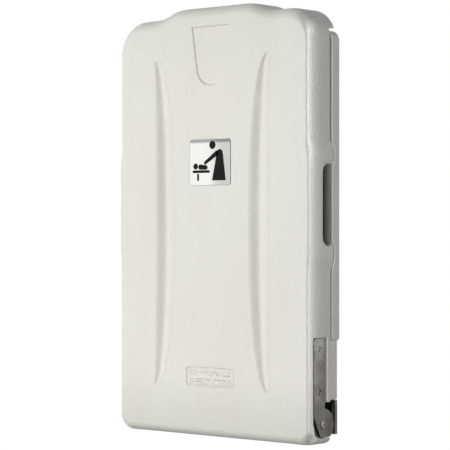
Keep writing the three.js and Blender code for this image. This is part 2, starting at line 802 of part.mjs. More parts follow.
// Steel arms, their screws, and the pivot between arm and bracket
function makeHinge() {
  for (const [hand, side] of Object.entries(sides)) {
    let arm = sidePrism(armProfile(), armInner, armOuter, side);
    arm = arm.subtract(barAlongX(
      pivotScrewShank + gap, armInner - over, armOuter + over, pivotDepth, pivotHeight, side));
    armScrewHeights.forEach((height, i) => {
      const headSeat = armOuter - armScrewHeadHeight;
      arm = arm.subtract(barAlongX(
        armScrewShank + gap, armInner - over, armOuter + over, armScrewDepth, height, side, smallSides));
      arm = arm.subtract(barAlongX(
        armScrewHead + gap, headSeat - gap, armOuter + over, armScrewDepth, height, side));
      const head = barAlongX(armScrewHead, headSeat, armOuter, armScrewDepth, height, side);
      const shank = barAlongX(
        armScrewShank, armOuter - armScrewLength, armOuter, armScrewDepth, height, side, smallSides);
      place(`arm_screw_${['upper', 'lower'][i]}_${hand}`, head.add(shank), darkSteel);
    });
    place(`hinge_arm_${hand}`, arm, brushedSteel);

    const headFrom = armOuter + gap;
    const screwHead = barAlongX(
      pivotScrewHead, headFrom, headFrom + pivotScrewHeadHeight, pivotDepth, pivotHeight, side);
    const screwShank = barAlongX(
      pivotScrewShank, hingeRodEnd - pivotScrewBite, headFrom + gap, pivotDepth, pivotHeight, side);
    place(`pivot_screw_${hand}`, screwHead.add(screwShank), darkSteel);

    const boreRadius = pivotScrewShank + runningGap;
    const bore = barAlongX(boreRadius, slotFloor - over, armOuter, pivotDepth, pivotHeight, side);
    const washer = barAlongX(
      washerRadius, washerInner, washerInner + washerThickness, pivotDepth, pivotHeight, side);
    place(`thrust_washer_${hand}`, washer.subtract(bore), bearingPlastic);
    const bush = barAlongX(boreRadius + bushWall, cheekInner, cheekOuter, pivotDepth, pivotHeight, side);
    place(`hinge_bush_${hand}`, bush.subtract(bore), bearingPlastic);
  }
  let rod = barAlongX(hingeRodRadius, -hingeRodEnd, hingeRodEnd, pivotDepth, pivotHeight, sides.right);
  for (const side of Object.values(sides)) {
    rod = rod.subtract(barAlongX(
      pivotScrewShank + gap, hingeRodEnd - pivotScrewBite - tipRoom, hingeRodEnd + over,
      pivotDepth, pivotHeight, side));
  }
  place('hinge_rod', rod, brushedSteel);
}

// Steel brackets on the wall that carry the hinge, and the rail between them
function makeWallBrackets() {
  const screwHeight = (bracketTop + bracketFoot) / 2;
  const bushRadius = pivotScrewShank + runningGap + bushWall;
  for (const [hand, side] of Object.entries(sides)) {
    const cheek = sidePrism(cheekProfile(), cheekInner, cheekOuter, side);
    const flange = sideBox(bracketFlangeInner, cheekOuter, 0, bracketFlange, bracketFoot, bracketTop, side);
    const edge = sideBox(cheekInner, bracketEdgeOuter, 0, bracketShelf, bracketFoot, bracketTop, side);
    let bracket = cheek.add(flange).add(edge);
    bracket = bracket.subtract(barAlongX(
      bushRadius + gap, cheekInner - over, cheekOuter + over, pivotDepth, pivotHeight, side));
    if (side === sides.left) {
      bracket = bracket.subtract(barAlongX(
        studRadius + gap, cheekInner - over, cheekOuter + over, studDepth(), studHeight(), side));
    }
    bracketScrewPlaces.forEach((x, i) => {
      bracket = bracket.subtract(barAlongDepth(
        wallScrewShank + gap, -over, bracketFlange + over, side * x, screwHeight));
      makeWallScrew(`bracket_screw_${['inner', 'outer'][i]}_${hand}`, side * x, screwHeight, bracketFlange);
    });
    place(`wall_bracket_${hand}`, bracket, brushedSteel);
  }
  const railEnd = bracketFlangeInner - slideGap;
  place('hinge_rail', box(-railEnd, railEnd, 0, railThickness, bracketFoot, bracketTop), brushedSteel);
}

function makeWallScrew(name, x, height, seat) {
  const head = barAlongDepth(wallScrewHead, seat + gap, seat + gap + wallScrewHeadHeight, x, height);
  const shank = barAlongDepth(wallScrewShank, gap, seat + 2 * gap, x, height);
  place(name, head.add(shank), darkSteel);
}

// Where the gas spring's stud stands on the left bracket
function studDepth() {
  return pivotDepth + studArm * Math.cos(studStart);
}
function studHeight() {
  return pivotHeight + studArm * Math.sin(studStart);
}

// Gas spring: the cylinder is held in the bed, and its rod bears on the bracket's stud
function makeGasSpring() {
  const springOffset = Math.abs(springX);
  const stud = barAlongX(
    studRadius, springOffset - yokeThickness, cheekOuter, studDepth(), studHeight(), sides.left);
  place('gas_spring_stud', stud, darkSteel);

  const yokeHalfLength = yokeSlotHalfLength + yokeWall;
  const yokeHalfHeight = yokeSlotHalfHeight + yokeWall;
  const yokeShape = roundedRectangle(
    yokeDepth - yokeHalfLength, yokeDepth + yokeHalfLength,
    yokeHeight - yokeHalfHeight, yokeHeight + yokeHalfHeight, yokeHalfHeight - slideGap);
  const slotShape = roundedRectangle(
    yokeDepth - yokeSlotHalfLength, yokeDepth + yokeSlotHalfLength,
    yokeHeight - yokeSlotHalfHeight, yokeHeight + yokeSlotHalfHeight, yokeSlotHalfHeight - slideGap);
  const yokeFrom = springOffset - yokeThickness / 2;
  const yokeTo = springOffset + yokeThickness / 2;
  let rod = sidePrism(yokeShape, yokeFrom, yokeTo, sides.left);
  const rodFoot = yokeHeight + yokeSlotHalfHeight + yokeWall / 2;
  rod = rod.add(uprightBar(gasRodRadius, rodFoot, gasRodTop, springX, yokeDepth));
  rod = rod.subtract(sidePrism(slotShape, yokeFrom - over, yokeTo + over, sides.left));
  place('gas_spring_rod', rod, brushedSteel);

  const eyeFrom = springOffset - yokeThickness / 2;
  const eyeTo = springOffset + yokeThickness / 2;
  let cylinder = uprightBar(cylinderRadius, cylinderFoot, cylinderTop, springX, yokeDepth);
  cylinder = cylinder.add(sideBox(
    eyeFrom, eyeTo, yokeDepth - eyeRadius, yokeDepth + eyeRadius,
    cylinderTop - weldBite, eyeHeight, sides.left));
  cylinder = cylinder.add(barAlongX(eyeRadius, eyeFrom, eyeTo, yokeDepth, eyeHeight, sides.left));
  cylinder = cylinder.subtract(
    uprightBar(gasRodRadius + runningGap, cylinderFoot - over, cylinderBoreTop, springX, yokeDepth));
  cylinder = cylinder.subtract(
    barAlongX(anchorPinRadius + gap, eyeFrom - over, eyeTo + over, yokeDepth, eyeHeight, sides.left));
  place('gas_spring_cylinder', cylinder, blackPlastic);

  const anchorFrom = springOffset - anchorHalfWidth;
  const anchorTo = springOffset + anchorHalfWidth;
  let anchor = sideBox(
    anchorFrom, anchorTo, yokeDepth - eyeRadius, closedDepth,
    eyeHeight - anchorHalfHeight, eyeHeight + anchorHalfHeight, sides.left);
  anchor = anchor.subtract(sideBox(
    eyeFrom - gap, eyeTo + gap, 0, yokeDepth + eyeRadius + swingGap,
    eyeHeight - anchorHalfHeight - over, eyeHeight + eyeRadius + swingGap, sides.left));
  anchor = anchor.subtract(box(
    springX - cylinderRadius - swingGap, springX + cylinderRadius + swingGap, 0,
    yokeDepth + cylinderRadius + swingGap, cylinderFoot, cylinderTop + swingGap));
  anchor = anchor.subtract(
    barAlongX(anchorPinRadius + gap, anchorFrom - over, anchorTo + over, yokeDepth, eyeHeight, sides.left));
  place('gas_spring_anchor', anchor.intersect(bedBulk(bedWall + gap)), greyPlastic);
  place('gas_spring_anchor_pin',
    barAlongX(anchorPinRadius, anchorFrom, anchorTo, yokeDepth, eyeHeight, sides.left), brushedSteel);
}

// Front outline of the wall shell, drawn in near its foot to make room for the brackets
function shellOutline() {
  const waist = shellHalfWidth - shellWaistInset;
  const shape = new THREE.Shape();
  shape.moveTo(-waist + shellBottomRadius, shellBottom);
  shape.lineTo(waist - shellBottomRadius, shellBottom);
  shape.absarc(
    waist - shellBottomRadius, shellBottom + shellBottomRadius, shellBottomRadius, -Math.PI / 2, 0);
  shape.lineTo(waist, shellWaistFoot);
  smoothStep(shape, waist, shellWaistFoot, shellHalfWidth, shellWaistTop, true);
  shape.lineTo(shellHalfWidth, shellTop - shellTopRadius);
  shape.absarc(shellHalfWidth - shellTopRadius, shellTop - shellTopRadius, shellTopRadius, 0, Math.PI / 2);
  shape.lineTo(-shellHalfWidth + shellTopRadius, shellTop);
  shape.absarc(
    -shellHalfWidth + shellTopRadius, shellTop - shellTopRadius, shellTopRadius, Math.PI / 2, Math.PI);
  shape.lineTo(-shellHalfWidth, shellWaistTop);
  smoothStep(shape, -shellHalfWidth, shellWaistTop, -waist, shellWaistFoot, true);
  shape.lineTo(-waist, shellBottom + shellBottomRadius);
  shape.absarc(
    -waist + shellBottomRadius, shellBottom + shellBottomRadius, shellBottomRadius, Math.PI, 1.5 * Math.PI);
  return shape;
}

function bothHands(places) {
  return places.flatMap(([x, height]) => [[-x, height], [x, height]]);
}

// Shallow shell on the wall, open at the back, with a flat plate inside it against the wall
function makeWallShell() {
  const outline = shellOutline();
  const trim = box(-wholeWidth, wholeWidth, -closedDepth, 0, shellBottom - over, shellTop + over);
  const shellBulk = (inset) => roundedPrism(
    outline, -over, shellFrontDepth - inset, inset, shellEdge, shellEdge, smallEdgeSteps);
  let shell = shellBulk(0).subtract(shellBulk(shellWall));
  shell = shell.subtract(trim);
  shell = shell.subtract(frontPrism(
    roundedRectangle(-linerHalfWidth - slideGap, linerHalfWidth + slideGap, linerBottom - slideGap,
      linerTop + slideGap, linerCorner + slideGap),
    0, closedDepth));
  for (const [x, height] of bothHands(bumperPlaces)) {
    shell = shell.subtract(barAlongDepth(
      bumperRadius + gap, shellFrontDepth - bumperSeat, closedDepth, x, height, roundSides));
  }
  place('wall_shell', shell, palePlastic);

  const plateInset = shellWall + slideGap;
  let plate = shellBulk(plateInset);
  plate = plate.subtract(trim);
  plate = plate.subtract(box(
    -wholeWidth, wholeWidth, backPlateThickness, closedDepth, shellBottom - over, shellTop + over));
  for (const [x, height] of bothHands(plateScrewPlaces)) {
    plate = plate.subtract(barAlongDepth(wallScrewShank + gap, -over, closedDepth, x, height));
  }
  place('wall_back_plate', plate, greyPlastic);
  bothHands(plateScrewPlaces).forEach(([x, height], i) => {
    const level = ['upper', 'lower'][Math.floor(i / 2)];
    makeWallScrew(`plate_screw_${level}_${i % 2 ? 'right' : 'left'}`, x, height, backPlateThickness);
  });
  bothHands(bumperPlaces).forEach(([x, height], i) => {
    const level = ['upper', 'lower'][Math.floor(i / 2)];
    const near = shellFrontDepth - bumperSeat + gap;
    place(`rest_bumper_${level}_${i % 2 ? 'right' : 'left'}`,
      barAlongDepth(bumperRadius, near, near + bumperThickness - gap, x, height, roundSides), rubber);
  });
}

// Liner dispenser: a cover in the wall shell with a pull slot, and a lock that turns in it
function makeLinerDispenser() {
  const face = frontPrism(
    roundedRectangle(-linerHalfWidth, linerHalfWidth, linerBottom, linerTop, linerCorner),
    shellFrontDepth - shellWall - 2 * gap, shellFrontDepth);
  const edge = frontPrism(
    roundedRectangle(-linerHalfWidth - linerOverlap, linerHalfWidth + linerOverlap,
      linerBottom - linerOverlap, linerTop + linerOverlap, linerCorner + linerOverlap),
    shellFrontDepth - 2 * shellWall, shellFrontDepth - shellWall - gap);
  const slot = frontPrism(
    roundedRectangle(-linerSlotHalfWidth, linerSlotHalfWidth, linerSlotCentre - linerSlotHeight / 2,
      linerSlotCentre + linerSlotHeight / 2, linerSlotHeight / 2 - gap),
    0, closedDepth);
  const lockHole = barAlongDepth(lockRadius + runningGap, 0, closedDepth, 0, lockHeight, roundSides);
  place('liner_cover', face.add(edge).subtract(slot).subtract(lockHole), palePlastic);

  const headNear = shellFrontDepth + gap;
  const bodyNear = headNear - lockBodyLength;
  const keyway = box(
    -keywayHalfWidth, keywayHalfWidth, headNear + keywayFloor, closedDepth,
    lockHeight - keywayHalfHeight, lockHeight + keywayHalfHeight);
  const barrel = barAlongDepth(lockRadius, bodyNear, headNear + gap, 0, lockHeight, roundSides)
    .add(barAlongDepth(lockHeadRadius, headNear, headNear + lockHeadHeight, 0, lockHeight, roundSides))
    .subtract(keyway);
  place('liner_lock_barrel', barrel, brushedSteel);
  const cam = frontPrism(
    roundedRectangle(-camWidth / 2, camWidth / 2, lockHeight - camWidth / 2,
      lockHeight - camWidth / 2 + camLength, camWidth / 2 - gap),
    bodyNear - gap - camThickness, bodyNear - gap);
  place('liner_lock_cam', cam, darkSteel);
}

// Safety strap: two lengths of webbing, their anchors on the tray, and a side-release buckle
function makeSafetyStrap() {
  const low = strapHeight - strapWidth / 2;
  const high = strapHeight + strapWidth / 2;
  const buckleEnd = buckleHalfLength + gap;
  const plateFar = strapNear - gap;
  const plateNear = plateFar - anchorPlateThickness;
  for (const [hand, side] of Object.entries(sides)) {
    const hole = barAlongDepth(anchorScrewRadius + gap, 0, closedDepth, side * strapHalfSpan, strapHeight);
    const band = sideBox(
      buckleEnd, strapHalfSpan + anchorPlateLength / 2, strapNear, strapFar, low, high, side);
    place(`strap_${hand}`, band.subtract(hole), webbing);

    const middle = side * strapHalfSpan;
    const plate = frontPrism(
      roundedRectangle(middle - anchorPlateLength / 2, middle + anchorPlateLength / 2,
        low - anchorPlateOverhang, high + anchorPlateOverhang, anchorPlateOverhang),
      plateNear, plateFar);
    place(`strap_anchor_${hand}`, plate.subtract(hole), blackPlastic);

    const headFar = plateNear - gap;
    const head = barAlongDepth(
      anchorScrewHead, headFar - anchorScrewHeadHeight, headFar, middle, strapHeight);
    const shank = barAlongDepth(
      anchorScrewRadius, headFar - gap, basinFloorDepth + 2 * trayWall, middle, strapHeight);
    place(`strap_anchor_screw_${hand}`, head.add(shank), darkSteel);
  }

  const buckleNear = strapFar - buckleThickness;
  const bodyLow = strapHeight - buckleHalfHeight;
  const bodyHigh = strapHeight + buckleHalfHeight;
  const mouth = box(
    buckleSplit - tongueLength - gap, buckleSplit + over, buckleNear + buckleWall, strapFar - buckleWall,
    bodyLow + 2 * buckleWall, bodyHigh - 2 * buckleWall);
  const socket = frontPrism(
    roundedRectangle(-buckleHalfLength, buckleSplit, bodyLow, bodyHigh, buckleCorner), buckleNear, strapFar);
  place('buckle_socket', socket.subtract(mouth), blackPlastic);
  const tongueInset = 2 * buckleWall + slideGap;
  const tongue = box(
    buckleSplit - tongueLength + gap, buckleSplit + slideGap + weldBite, buckleNear + buckleWall + slideGap,
    strapFar - buckleWall - slideGap, bodyLow + tongueInset, bodyHigh - tongueInset);
  const plug = frontPrism(
    roundedRectangle(buckleSplit + slideGap, buckleHalfLength, bodyLow, bodyHigh, buckleCorner),
    buckleNear, strapFar);
  place('buckle_plug', plug.add(tongue), blackPlastic);
}

makeBedCover();
makeSignPlate();
makeBedTray();
makeTrayScrews();
makeGripCups();
makeHinge();
makeWallBrackets();
makeGasSpring();
makeWallShell();
makeLinerDispenser();
makeSafetyStrap();

export default station;
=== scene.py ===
import math

import bmesh
import bpy
import numpy as np
from mathutils import Matrix, Vector


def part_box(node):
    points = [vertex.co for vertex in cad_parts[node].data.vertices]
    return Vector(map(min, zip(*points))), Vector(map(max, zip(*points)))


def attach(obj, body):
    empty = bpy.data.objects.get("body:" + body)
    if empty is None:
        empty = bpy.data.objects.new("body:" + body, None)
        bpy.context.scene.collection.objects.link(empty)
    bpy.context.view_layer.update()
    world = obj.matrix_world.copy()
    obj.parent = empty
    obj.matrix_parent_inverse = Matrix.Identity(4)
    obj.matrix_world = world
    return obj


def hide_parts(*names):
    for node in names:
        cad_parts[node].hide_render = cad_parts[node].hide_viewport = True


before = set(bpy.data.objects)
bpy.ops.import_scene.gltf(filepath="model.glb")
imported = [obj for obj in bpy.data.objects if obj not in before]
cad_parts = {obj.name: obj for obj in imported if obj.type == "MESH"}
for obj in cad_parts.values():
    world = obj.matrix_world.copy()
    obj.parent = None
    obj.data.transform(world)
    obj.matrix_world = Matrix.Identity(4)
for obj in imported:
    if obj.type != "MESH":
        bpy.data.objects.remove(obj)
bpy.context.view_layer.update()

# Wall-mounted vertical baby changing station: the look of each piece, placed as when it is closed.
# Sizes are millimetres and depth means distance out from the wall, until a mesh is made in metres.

METRE = 0.001
BED = "bed"
WALL = "wall_unit"
SIDES = ("left", "right")
BUMPERS = [f"rest_bumper_{level}_{hand}" for level in ("upper", "lower") for hand in SIDES]
CLEARANCE = 0.3
CUT_EDGE = 1
PLASTIC_BEVEL = 1.2
PLATE_SHARP_ANGLE = math.radians(12)
FACING_FRONT = Matrix(((1, 0, 0, 0), (0, 0, -1, 0), (0, 1, 0, 0), (0, 0, 0, 1)))
FACING_RIGHT = Matrix(((0, 0, 1, 0), (-1, 0, 0, 0), (0, 1, 0, 0), (0, 0, 0, 1)))
CELL_CORNERS = [(i, j, k) for i in (0, 1) for j in (0, 1) for k in (0, 1)]


class Span:
    """A CAD node's box in millimetres, with depth measured from the wall."""

    def __init__(self, node):
        low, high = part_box(node)
        self.left, self.right = low[0] / METRE, high[0] / METRE
        self.near, self.far = -high[1] / METRE, -low[1] / METRE
        self.low, self.high = low[2] / METRE, high[2] / METRE
        self.x = (self.left + self.right) / 2
        self.depth = (self.near + self.far) / 2
        self.z = (self.low + self.high) / 2


# Sizes taken from the frame
cover = Span("bed_cover")
shell = Span("wall_shell")
tray = Span("bed_tray")
sign = Span("sign_plate")
arm = Span("hinge_arm_right")
cheek = Span("wall_bracket_right")
bush = Span("hinge_bush_right")
pivot = Span("pivot_screw_right")
liner = Span("liner_cover")
lock = Span("liner_lock_barrel")
front = cover.far
foot = cover.low
crown = cover.high
half_width = shell.right

# Bed outline
SHOULDER_DROP = 18.5
UPPER_TAPER = 1.5
GRIP_SWELL = 2.6
CROWN_HALF = 81
CROWN_RAMP_HALF = 176
SHOULDER_RADIUS = 62
FOOT_RADIUS = 28
SWELL_TOP = (136, 181)
SWELL_FOOT = (-45, -97)

# Bed shell, with each edge as its reach across the front and its way back from the front
SEAM = 3
RIM_DEPTH = shell.far + SEAM
LIP_DEPTH = cover.near - 2.5
LIP_FOOT = 401.4
BED_WALL = 4
SIDE_EDGE = (9, 42)
TOP_EDGE = (25, 27)
FOOT_EDGE = (20, 28)
REAR_FOOT_RADIUS = 20
HEEL_LIFT = 3
HEEL_TOP = -395
HEEL_INNER = 205
HEEL_DEPTH = 80
HEEL_RADIUS = 9
HEEL_ROUND = 6
RIM_ROUND = 2.6
LIP_STEP = 3

# Front relief
GROOVE_CENTRE = 9.5
GROOVE_HALF = 346.5
GROOVE_TIP = 158.5
GROOVE_BOWS = (3, 54.5)
GROOVE_FULLNESS = 2.2
GROOVE_CUT = 10.5
GROOVE_SOFTNESS = 2.2
BEAD_RISE = 0.8
BEAD_OFFSET = 1.5
BEAD_WIDTH = 3
BEAD_FADE = 4
SHIELD_TOP = 419.5
SHIELD_FOOT = 297
SHIELD_HALF_TOP = 52
SHIELD_HALF_FOOT = 39
SHIELD_CUT = 3
SHIELD_SLOPE = 1.4
SIGN_CORNER = 5
SIGN_ROOM = 0.4
SIGN_BEVEL = 0.3
SEAT_ROOM = 0.2
SEAT_SLOPE = 1.2
MARK_HEIGHT = 0.2
MARK_BEVEL = 0.03
TABLE_DROP = 19
PANEL_CENTRE = -313
PANEL_SIZE = (132, 37)
PANEL_CORNER = 6
PANEL_CUT = 1.2
PANEL_SLOPE = 1.4
PANEL_LINE = (2, 1.6)

# Dots on the panel, with their radius and slope as shares of their pitch
TACTILE_PITCH = 4.9
TACTILE_RISE = 1.9
TACTILE_RADIUS = 0.42
TACTILE_SLOPE = 0.2
TACTILE_SHARE = 0.55
TACTILE_MARGIN = 3
TACTILE_FADE = 2
TACTILE_DRAW = (12.9898, 78.233, 43758.5453)

# Finger grips
GRIP_TOP = 128
GRIP_FOOT = -37
GRIP_DEPTH = 56
GRIP_CORNER = 17
GRIP_POCKET = 29
GRIP_ROUND = 2
EAR_OFFSET = 16
EAR_OUT = 0.5
EAR_REACH = 34
EAR_HALF = 34
EAR_DIP = 6
EAR_RAMPS = ((50, 22), (60, 20))
EAR_END = 8
EAR_ROUND = 9
EAR_GAP = 1.45
SCOOP_FLOOR = 3
SCOOP_ROOM = 0.5
SCOOP_EDGE = 1
SCOOP_POWER = 2
SCOOP_ROUND = 1.5

# Hinge
PIVOT_DEPTH = pivot.depth
PIVOT_HEIGHT = pivot.z
ARM_CORNER = 7
ARM_LOBE = 33
ARM_NOTCH = 8
ARM_REAR = 43.4
ARM_DIAGONAL = (15, 8.5)
ARM_RECESS = (5, 2.7)
ARM_BEVEL = 0.3
PIVOT_SHANK = 4
PIVOT_HOLE = PIVOT_SHANK + CLEARANCE
RECESS_PAD_ROOM = 4
RECESS_BEND = ((2, 12), (7, 4))
RECESS_TOE = 4
RECESS_OPENING = -20
HINGE_ROOM = 0.8
CHEEK_RADIUS = 34
BLOCK_THICKNESS = 4.8
BLOCK_INNER = bush.left - HINGE_ROOM - BLOCK_THICKNESS
CUT_ROUND = 1.6
BLOCK_FRONT = arm.far + 7
BLOCK_TOP = arm.high + 10

# Tray
BASIN_HALF = 213.5
BASIN_TOP = 385
BASIN_FOOT = -331
BASIN_CORNER = 72
BASIN_FLOOR = 74
BASIN_EDGE = (24, 30)
BASIN_LIP_ROUND = 9
TRAY_WALL = 4
TRAY_LIP = 1
TRAY_FLANGE = 5
TRAY_INSET = BED_WALL + CLEARANCE
CUP_ROOM = SCOOP_FLOOR + CLEARANCE

# Wall shell
SHELL_WAIST = 6
SHELL_WAIST_TOP = -224
SHELL_WAIST_FOOT = -233
SHELL_TOP_RADIUS = 22
SHELL_FOOT_RADIUS = 4
SHELL_WALL = 3.5
SHELL_EDGE = 0.9
SHELL_REAR_ROUND = 0.8
BUMPER_SEAT = 2
BUMPER_ROUND = 0.5
LINER_HALF = 120
LINER_TOP = 300
LINER_FOOT = 60
LINER_CORNER = 14
LINER_ROOM = 0.5
LINER_SLOT_HALF = 80
LINER_SLOT_HEIGHT = 15
LINER_SLOT_CENTRE = 96
LOCK_RADIUS = 8
LOCK_HOLE = LOCK_RADIUS + CLEARANCE

# Grids as runs of (start, step) ended by a last line, finer where a shape has detail
BED_ACROSS = ((0, 1.2), (72, 4), (98, 1.5), (164, 5), (half_width - 27, 1.4), cover.right + 3)
BED_DEPTHS = ((LIP_DEPTH - 3, 1.5), (LIP_DEPTH + 4, 3), (shell.far - 6, 1.2), (ARM_REAR + 3, 3.2),
              (front - 19, 0.9), (front - 4, 0.55), front + 1.5)
BED_HEIGHTS = ((foot - 4, 2), (-336, 1), (-290, 5), (-234, 2), (-205, 6), (-100, 3), (-60, 2), (-10, 6),
               (80, 1.2), (92, 4), (116, 2), (178, 1.2), (190, 6), (290, 1.5), (424, 2), crown + 4)
TRAY_ACROSS = ((0, 8), (150, 3), half_width + 2)
TRAY_DEPTHS = ((tray.near - 3, 1.2), (tray.near + 8, 3), (tray.far - 7, 1.2), tray.far + 3)
TRAY_HEIGHTS = ((tray.low - 4, 3), (-270, 8), (-60, 3), (-20, 8), (110, 3), (150, 8), (320, 3), crown + 2)
PAN_ACROSS = ((0, 6), (LINER_HALF - 8, 1.5), (LINER_HALF + 8, 6), (225, 1.2), half_width + 3)
PAN_DEPTHS = ((-2, 1.2), shell.far + 2)
PAN_HEIGHTS = ((shell.low - 4, 1.5), (shell.low + 16, 6), (-240, 1.5), (-215, 6), (-195, 2), (-185, 6),
               (-102, 3), (-30, 6), (LINER_FOOT - 8, 1.5), (LINER_FOOT + 16, 6), (120, 3), (184, 6),
               (LINER_TOP - 16, 1.5), (LINER_TOP + 8, 6), (335, 2), (345, 6), (shell.high - 28, 1.5),
               shell.high + 3)

# Small even grids as (margin, step) across, outwards and up
SCOOP_GRID = ((2, 1.2), (2, 1), (3, 2))
STRAP_GRID = ((1.2, 0.6), (0.6, 0.3), (2, 1))

# Screws by the start of their CAD names: body, head height, shank radius and the way the head faces
SCREWS = {
    "arm_screw": (BED, 2.4, 2.6, "side"),
    "pivot_screw": (BED, 2.8, PIVOT_SHANK, "side"),
    "tray_screw": (BED, 2.6, 2.2, "wall"),
    "strap_anchor_screw": (BED, 2.4, 2.5, "wall"),
    "bracket_screw": (WALL, 2.4, 3, "front"),
    "plate_screw": (WALL, 2.4, 3, "front"),
}
SCREW_MARGIN = 1
SCREW_STEP = 0.45
SHANK_STEP = 2
SHANK_START = 0.6
HEAD_CROWN = 1
HEAD_ROUND = 0.5

# Cross in a screw's head, with its half width and reach as shares of the head's radius
CROSS_HALF = 0.17
CROSS_REACH = 0.64
CROSS_DEPTH = 1.9
CROSS_ROUND = 0.3

# Strap and buckle
RIB_DEPTH = 0.45
RIB_PITCH = 2.4
RIB_FADE = 1.5
SELVEDGE = 2.5
STRAP_ROUND = 0.8
ANCHOR_CORNER = 4
ANCHOR_HOLE_STEPS = 24
BUCKLE_CORNER = 6
BUCKLE_BEVEL = 2.4
BUCKLE_GAP = 0.6
WINDOW_ROW = 0.55
WINDOW_ENDS = (20, 9)
WINDOW_RADIUS = 3.4
BUCKLE_SLOT_ROW = 0.7
BUCKLE_SLOT_RADIUS = 1.6
PRONG_ENDS = (18, 2)
PRONG_RADIUS = 2.6
PRONG_HALF = 2.5
PRONG_BEVEL = 0.8

# Camera and light, in metres and watts, with the lens and its sensor in millimetres
IMAGE_SIZE = 450
SENSOR_WIDTH = 36
CAMERA_AZIMUTH = math.radians(41.4)
CAMERA_DISTANCE = 4.01
CAMERA_LENS = 152.7
CAMERA_SHIFT = (1.8 / IMAGE_SIZE, 2.3 / IMAGE_SIZE)
TARGET = Vector((0, -0.056, 0))
AMBIENT = 0.12
FLOOR_GLOW = 0.5
FLOOR_RADIUS = 1.5
FLOOR_STEPS = 96
FLOOR_PLACE = (0, -0.2, -0.78)
WHITE = (1, 1, 1, 1)

# Lamps: azimuth and elevation in degrees, distance, width and height, power, and if only shine shows it
LAMPS = {
    "key": (-25, 6, 6, (6.8, 3.4), 340, False),
    "fill": (70, 4, 3.4, (2, 2), 8, False),
    "sheen": (93, 16, 3, (1.1, 4.2), 620, True),
}


# Outlines

def arc(centre, radius, start, stop, steps=10):
    """Points round a centre, angles in degrees."""
    angles = np.radians(np.linspace(start, stop, steps + 1))
    return [(centre[0] + radius * math.cos(a), centre[1] + radius * math.sin(a)) for a in angles]


def ease(start, stop, upright, steps=10):
    """A smooth step between two points, level or upright at both ends."""
    points = []
    for t in np.linspace(0, 1, steps + 1):
        even = 3 * t * (1 - t) / 2 + t ** 3
        bend = 3 * t * t - 2 * t ** 3
        across, along = (bend, even) if upright else (even, bend)
        points.append((start[0] + (stop[0] - start[0]) * across, start[1] + (stop[1] - start[1]) * along))
    return points


def mirrored(right_half):
    """A closed loop from its right-hand half, given from the foot up."""
    return right_half + [(-x, z) for x, z in reversed(right_half)]


def rounded_rectangle(left, right, low, high, radius, steps=8):
    loop = arc((right - radius, low + radius), radius, -90, 0, steps)
    loop += arc((right - radius, high - radius), radius, 0, 90, steps)
    loop += arc((left + radius, high - radius), radius, 90, 180, steps)
    return loop + arc((left + radius, low + radius), radius, 180, 270, steps)


def circle(centre, radius, steps=48):
    return arc(centre, radius, 0, 360 - 360 / steps, steps - 1)


def capsule(start, stop, start_radius, stop_radius, steps=12):
    """A bar with round ends, which may taper."""
    turn = math.degrees(math.atan2(stop[1] - start[1], stop[0] - start[0]))
    return arc(stop, stop_radius, turn - 90, turn + 90, steps) + arc(
        start, start_radius, turn + 90, turn + 270, steps)


def bed_outline():
    upper, grip = half_width - UPPER_TAPER, half_width + GRIP_SWELL
    shoulder = crown - SHOULDER_DROP
    half = arc((half_width - FOOT_RADIUS, foot + FOOT_RADIUS), FOOT_RADIUS, -90, 0, 12)
    half += ease((half_width, SWELL_FOOT[1]), (grip, SWELL_FOOT[0]), True)
    half += ease((grip, SWELL_TOP[0]), (upper, SWELL_TOP[1]), True)
    half += arc((upper - SHOULDER_RADIUS, shoulder - SHOULDER_RADIUS), SHOULDER_RADIUS, 0, 90, 20)
    half += ease((CROWN_RAMP_HALF, shoulder), (CROWN_HALF, crown), False)
    return mirrored(half)


def shield_outline():
    arc_height = SHIELD_FOOT + SHIELD_HALF_FOOT
    return mirrored(arc((0, arc_height), SHIELD_HALF_FOOT, -90, 0, 20) + [(SHIELD_HALF_TOP, SHIELD_TOP)])


def shell_outline():
    waist = half_width - SHELL_WAIST
    half = arc((waist - SHELL_FOOT_RADIUS, shell.low + SHELL_FOOT_RADIUS), SHELL_FOOT_RADIUS, -90, 0)
    half += ease((waist, SHELL_WAIST_FOOT), (half_width, SHELL_WAIST_TOP), True)
    half += arc((half_width - SHELL_TOP_RADIUS, shell.high - SHELL_TOP_RADIUS), SHELL_TOP_RADIUS, 0, 90)
    return mirrored(half)


def arm_outline():
    """Side view (depth, height) of the steel arm, with its lobe round the pivot."""
    foot_turn = 180 + math.degrees(math.asin((PIVOT_HEIGHT - arm.low) / ARM_LOBE))
    notch = ARM_REAR - ARM_NOTCH
    notch_turn = 90 + math.degrees(math.asin((PIVOT_DEPTH - notch) / ARM_LOBE))
    lobe_top = PIVOT_HEIGHT + ARM_LOBE * math.sin(math.radians(notch_turn))
    loop = arc((arm.far - ARM_CORNER, arm.high - ARM_CORNER), ARM_CORNER, 90, 0)
    loop += [(arm.far, PIVOT_HEIGHT + ARM_DIAGONAL[0]), (PIVOT_DEPTH + ARM_DIAGONAL[1], arm.low)]
    loop += arc((PIVOT_DEPTH, PIVOT_HEIGHT), ARM_LOBE, foot_turn, notch_turn, 28)
    loop += arc((notch, lobe_top + ARM_NOTCH), ARM_NOTCH, -90, 0)
    return loop + arc((ARM_REAR + ARM_CORNER, arm.high - ARM_CORNER), ARM_CORNER, 180, 90)


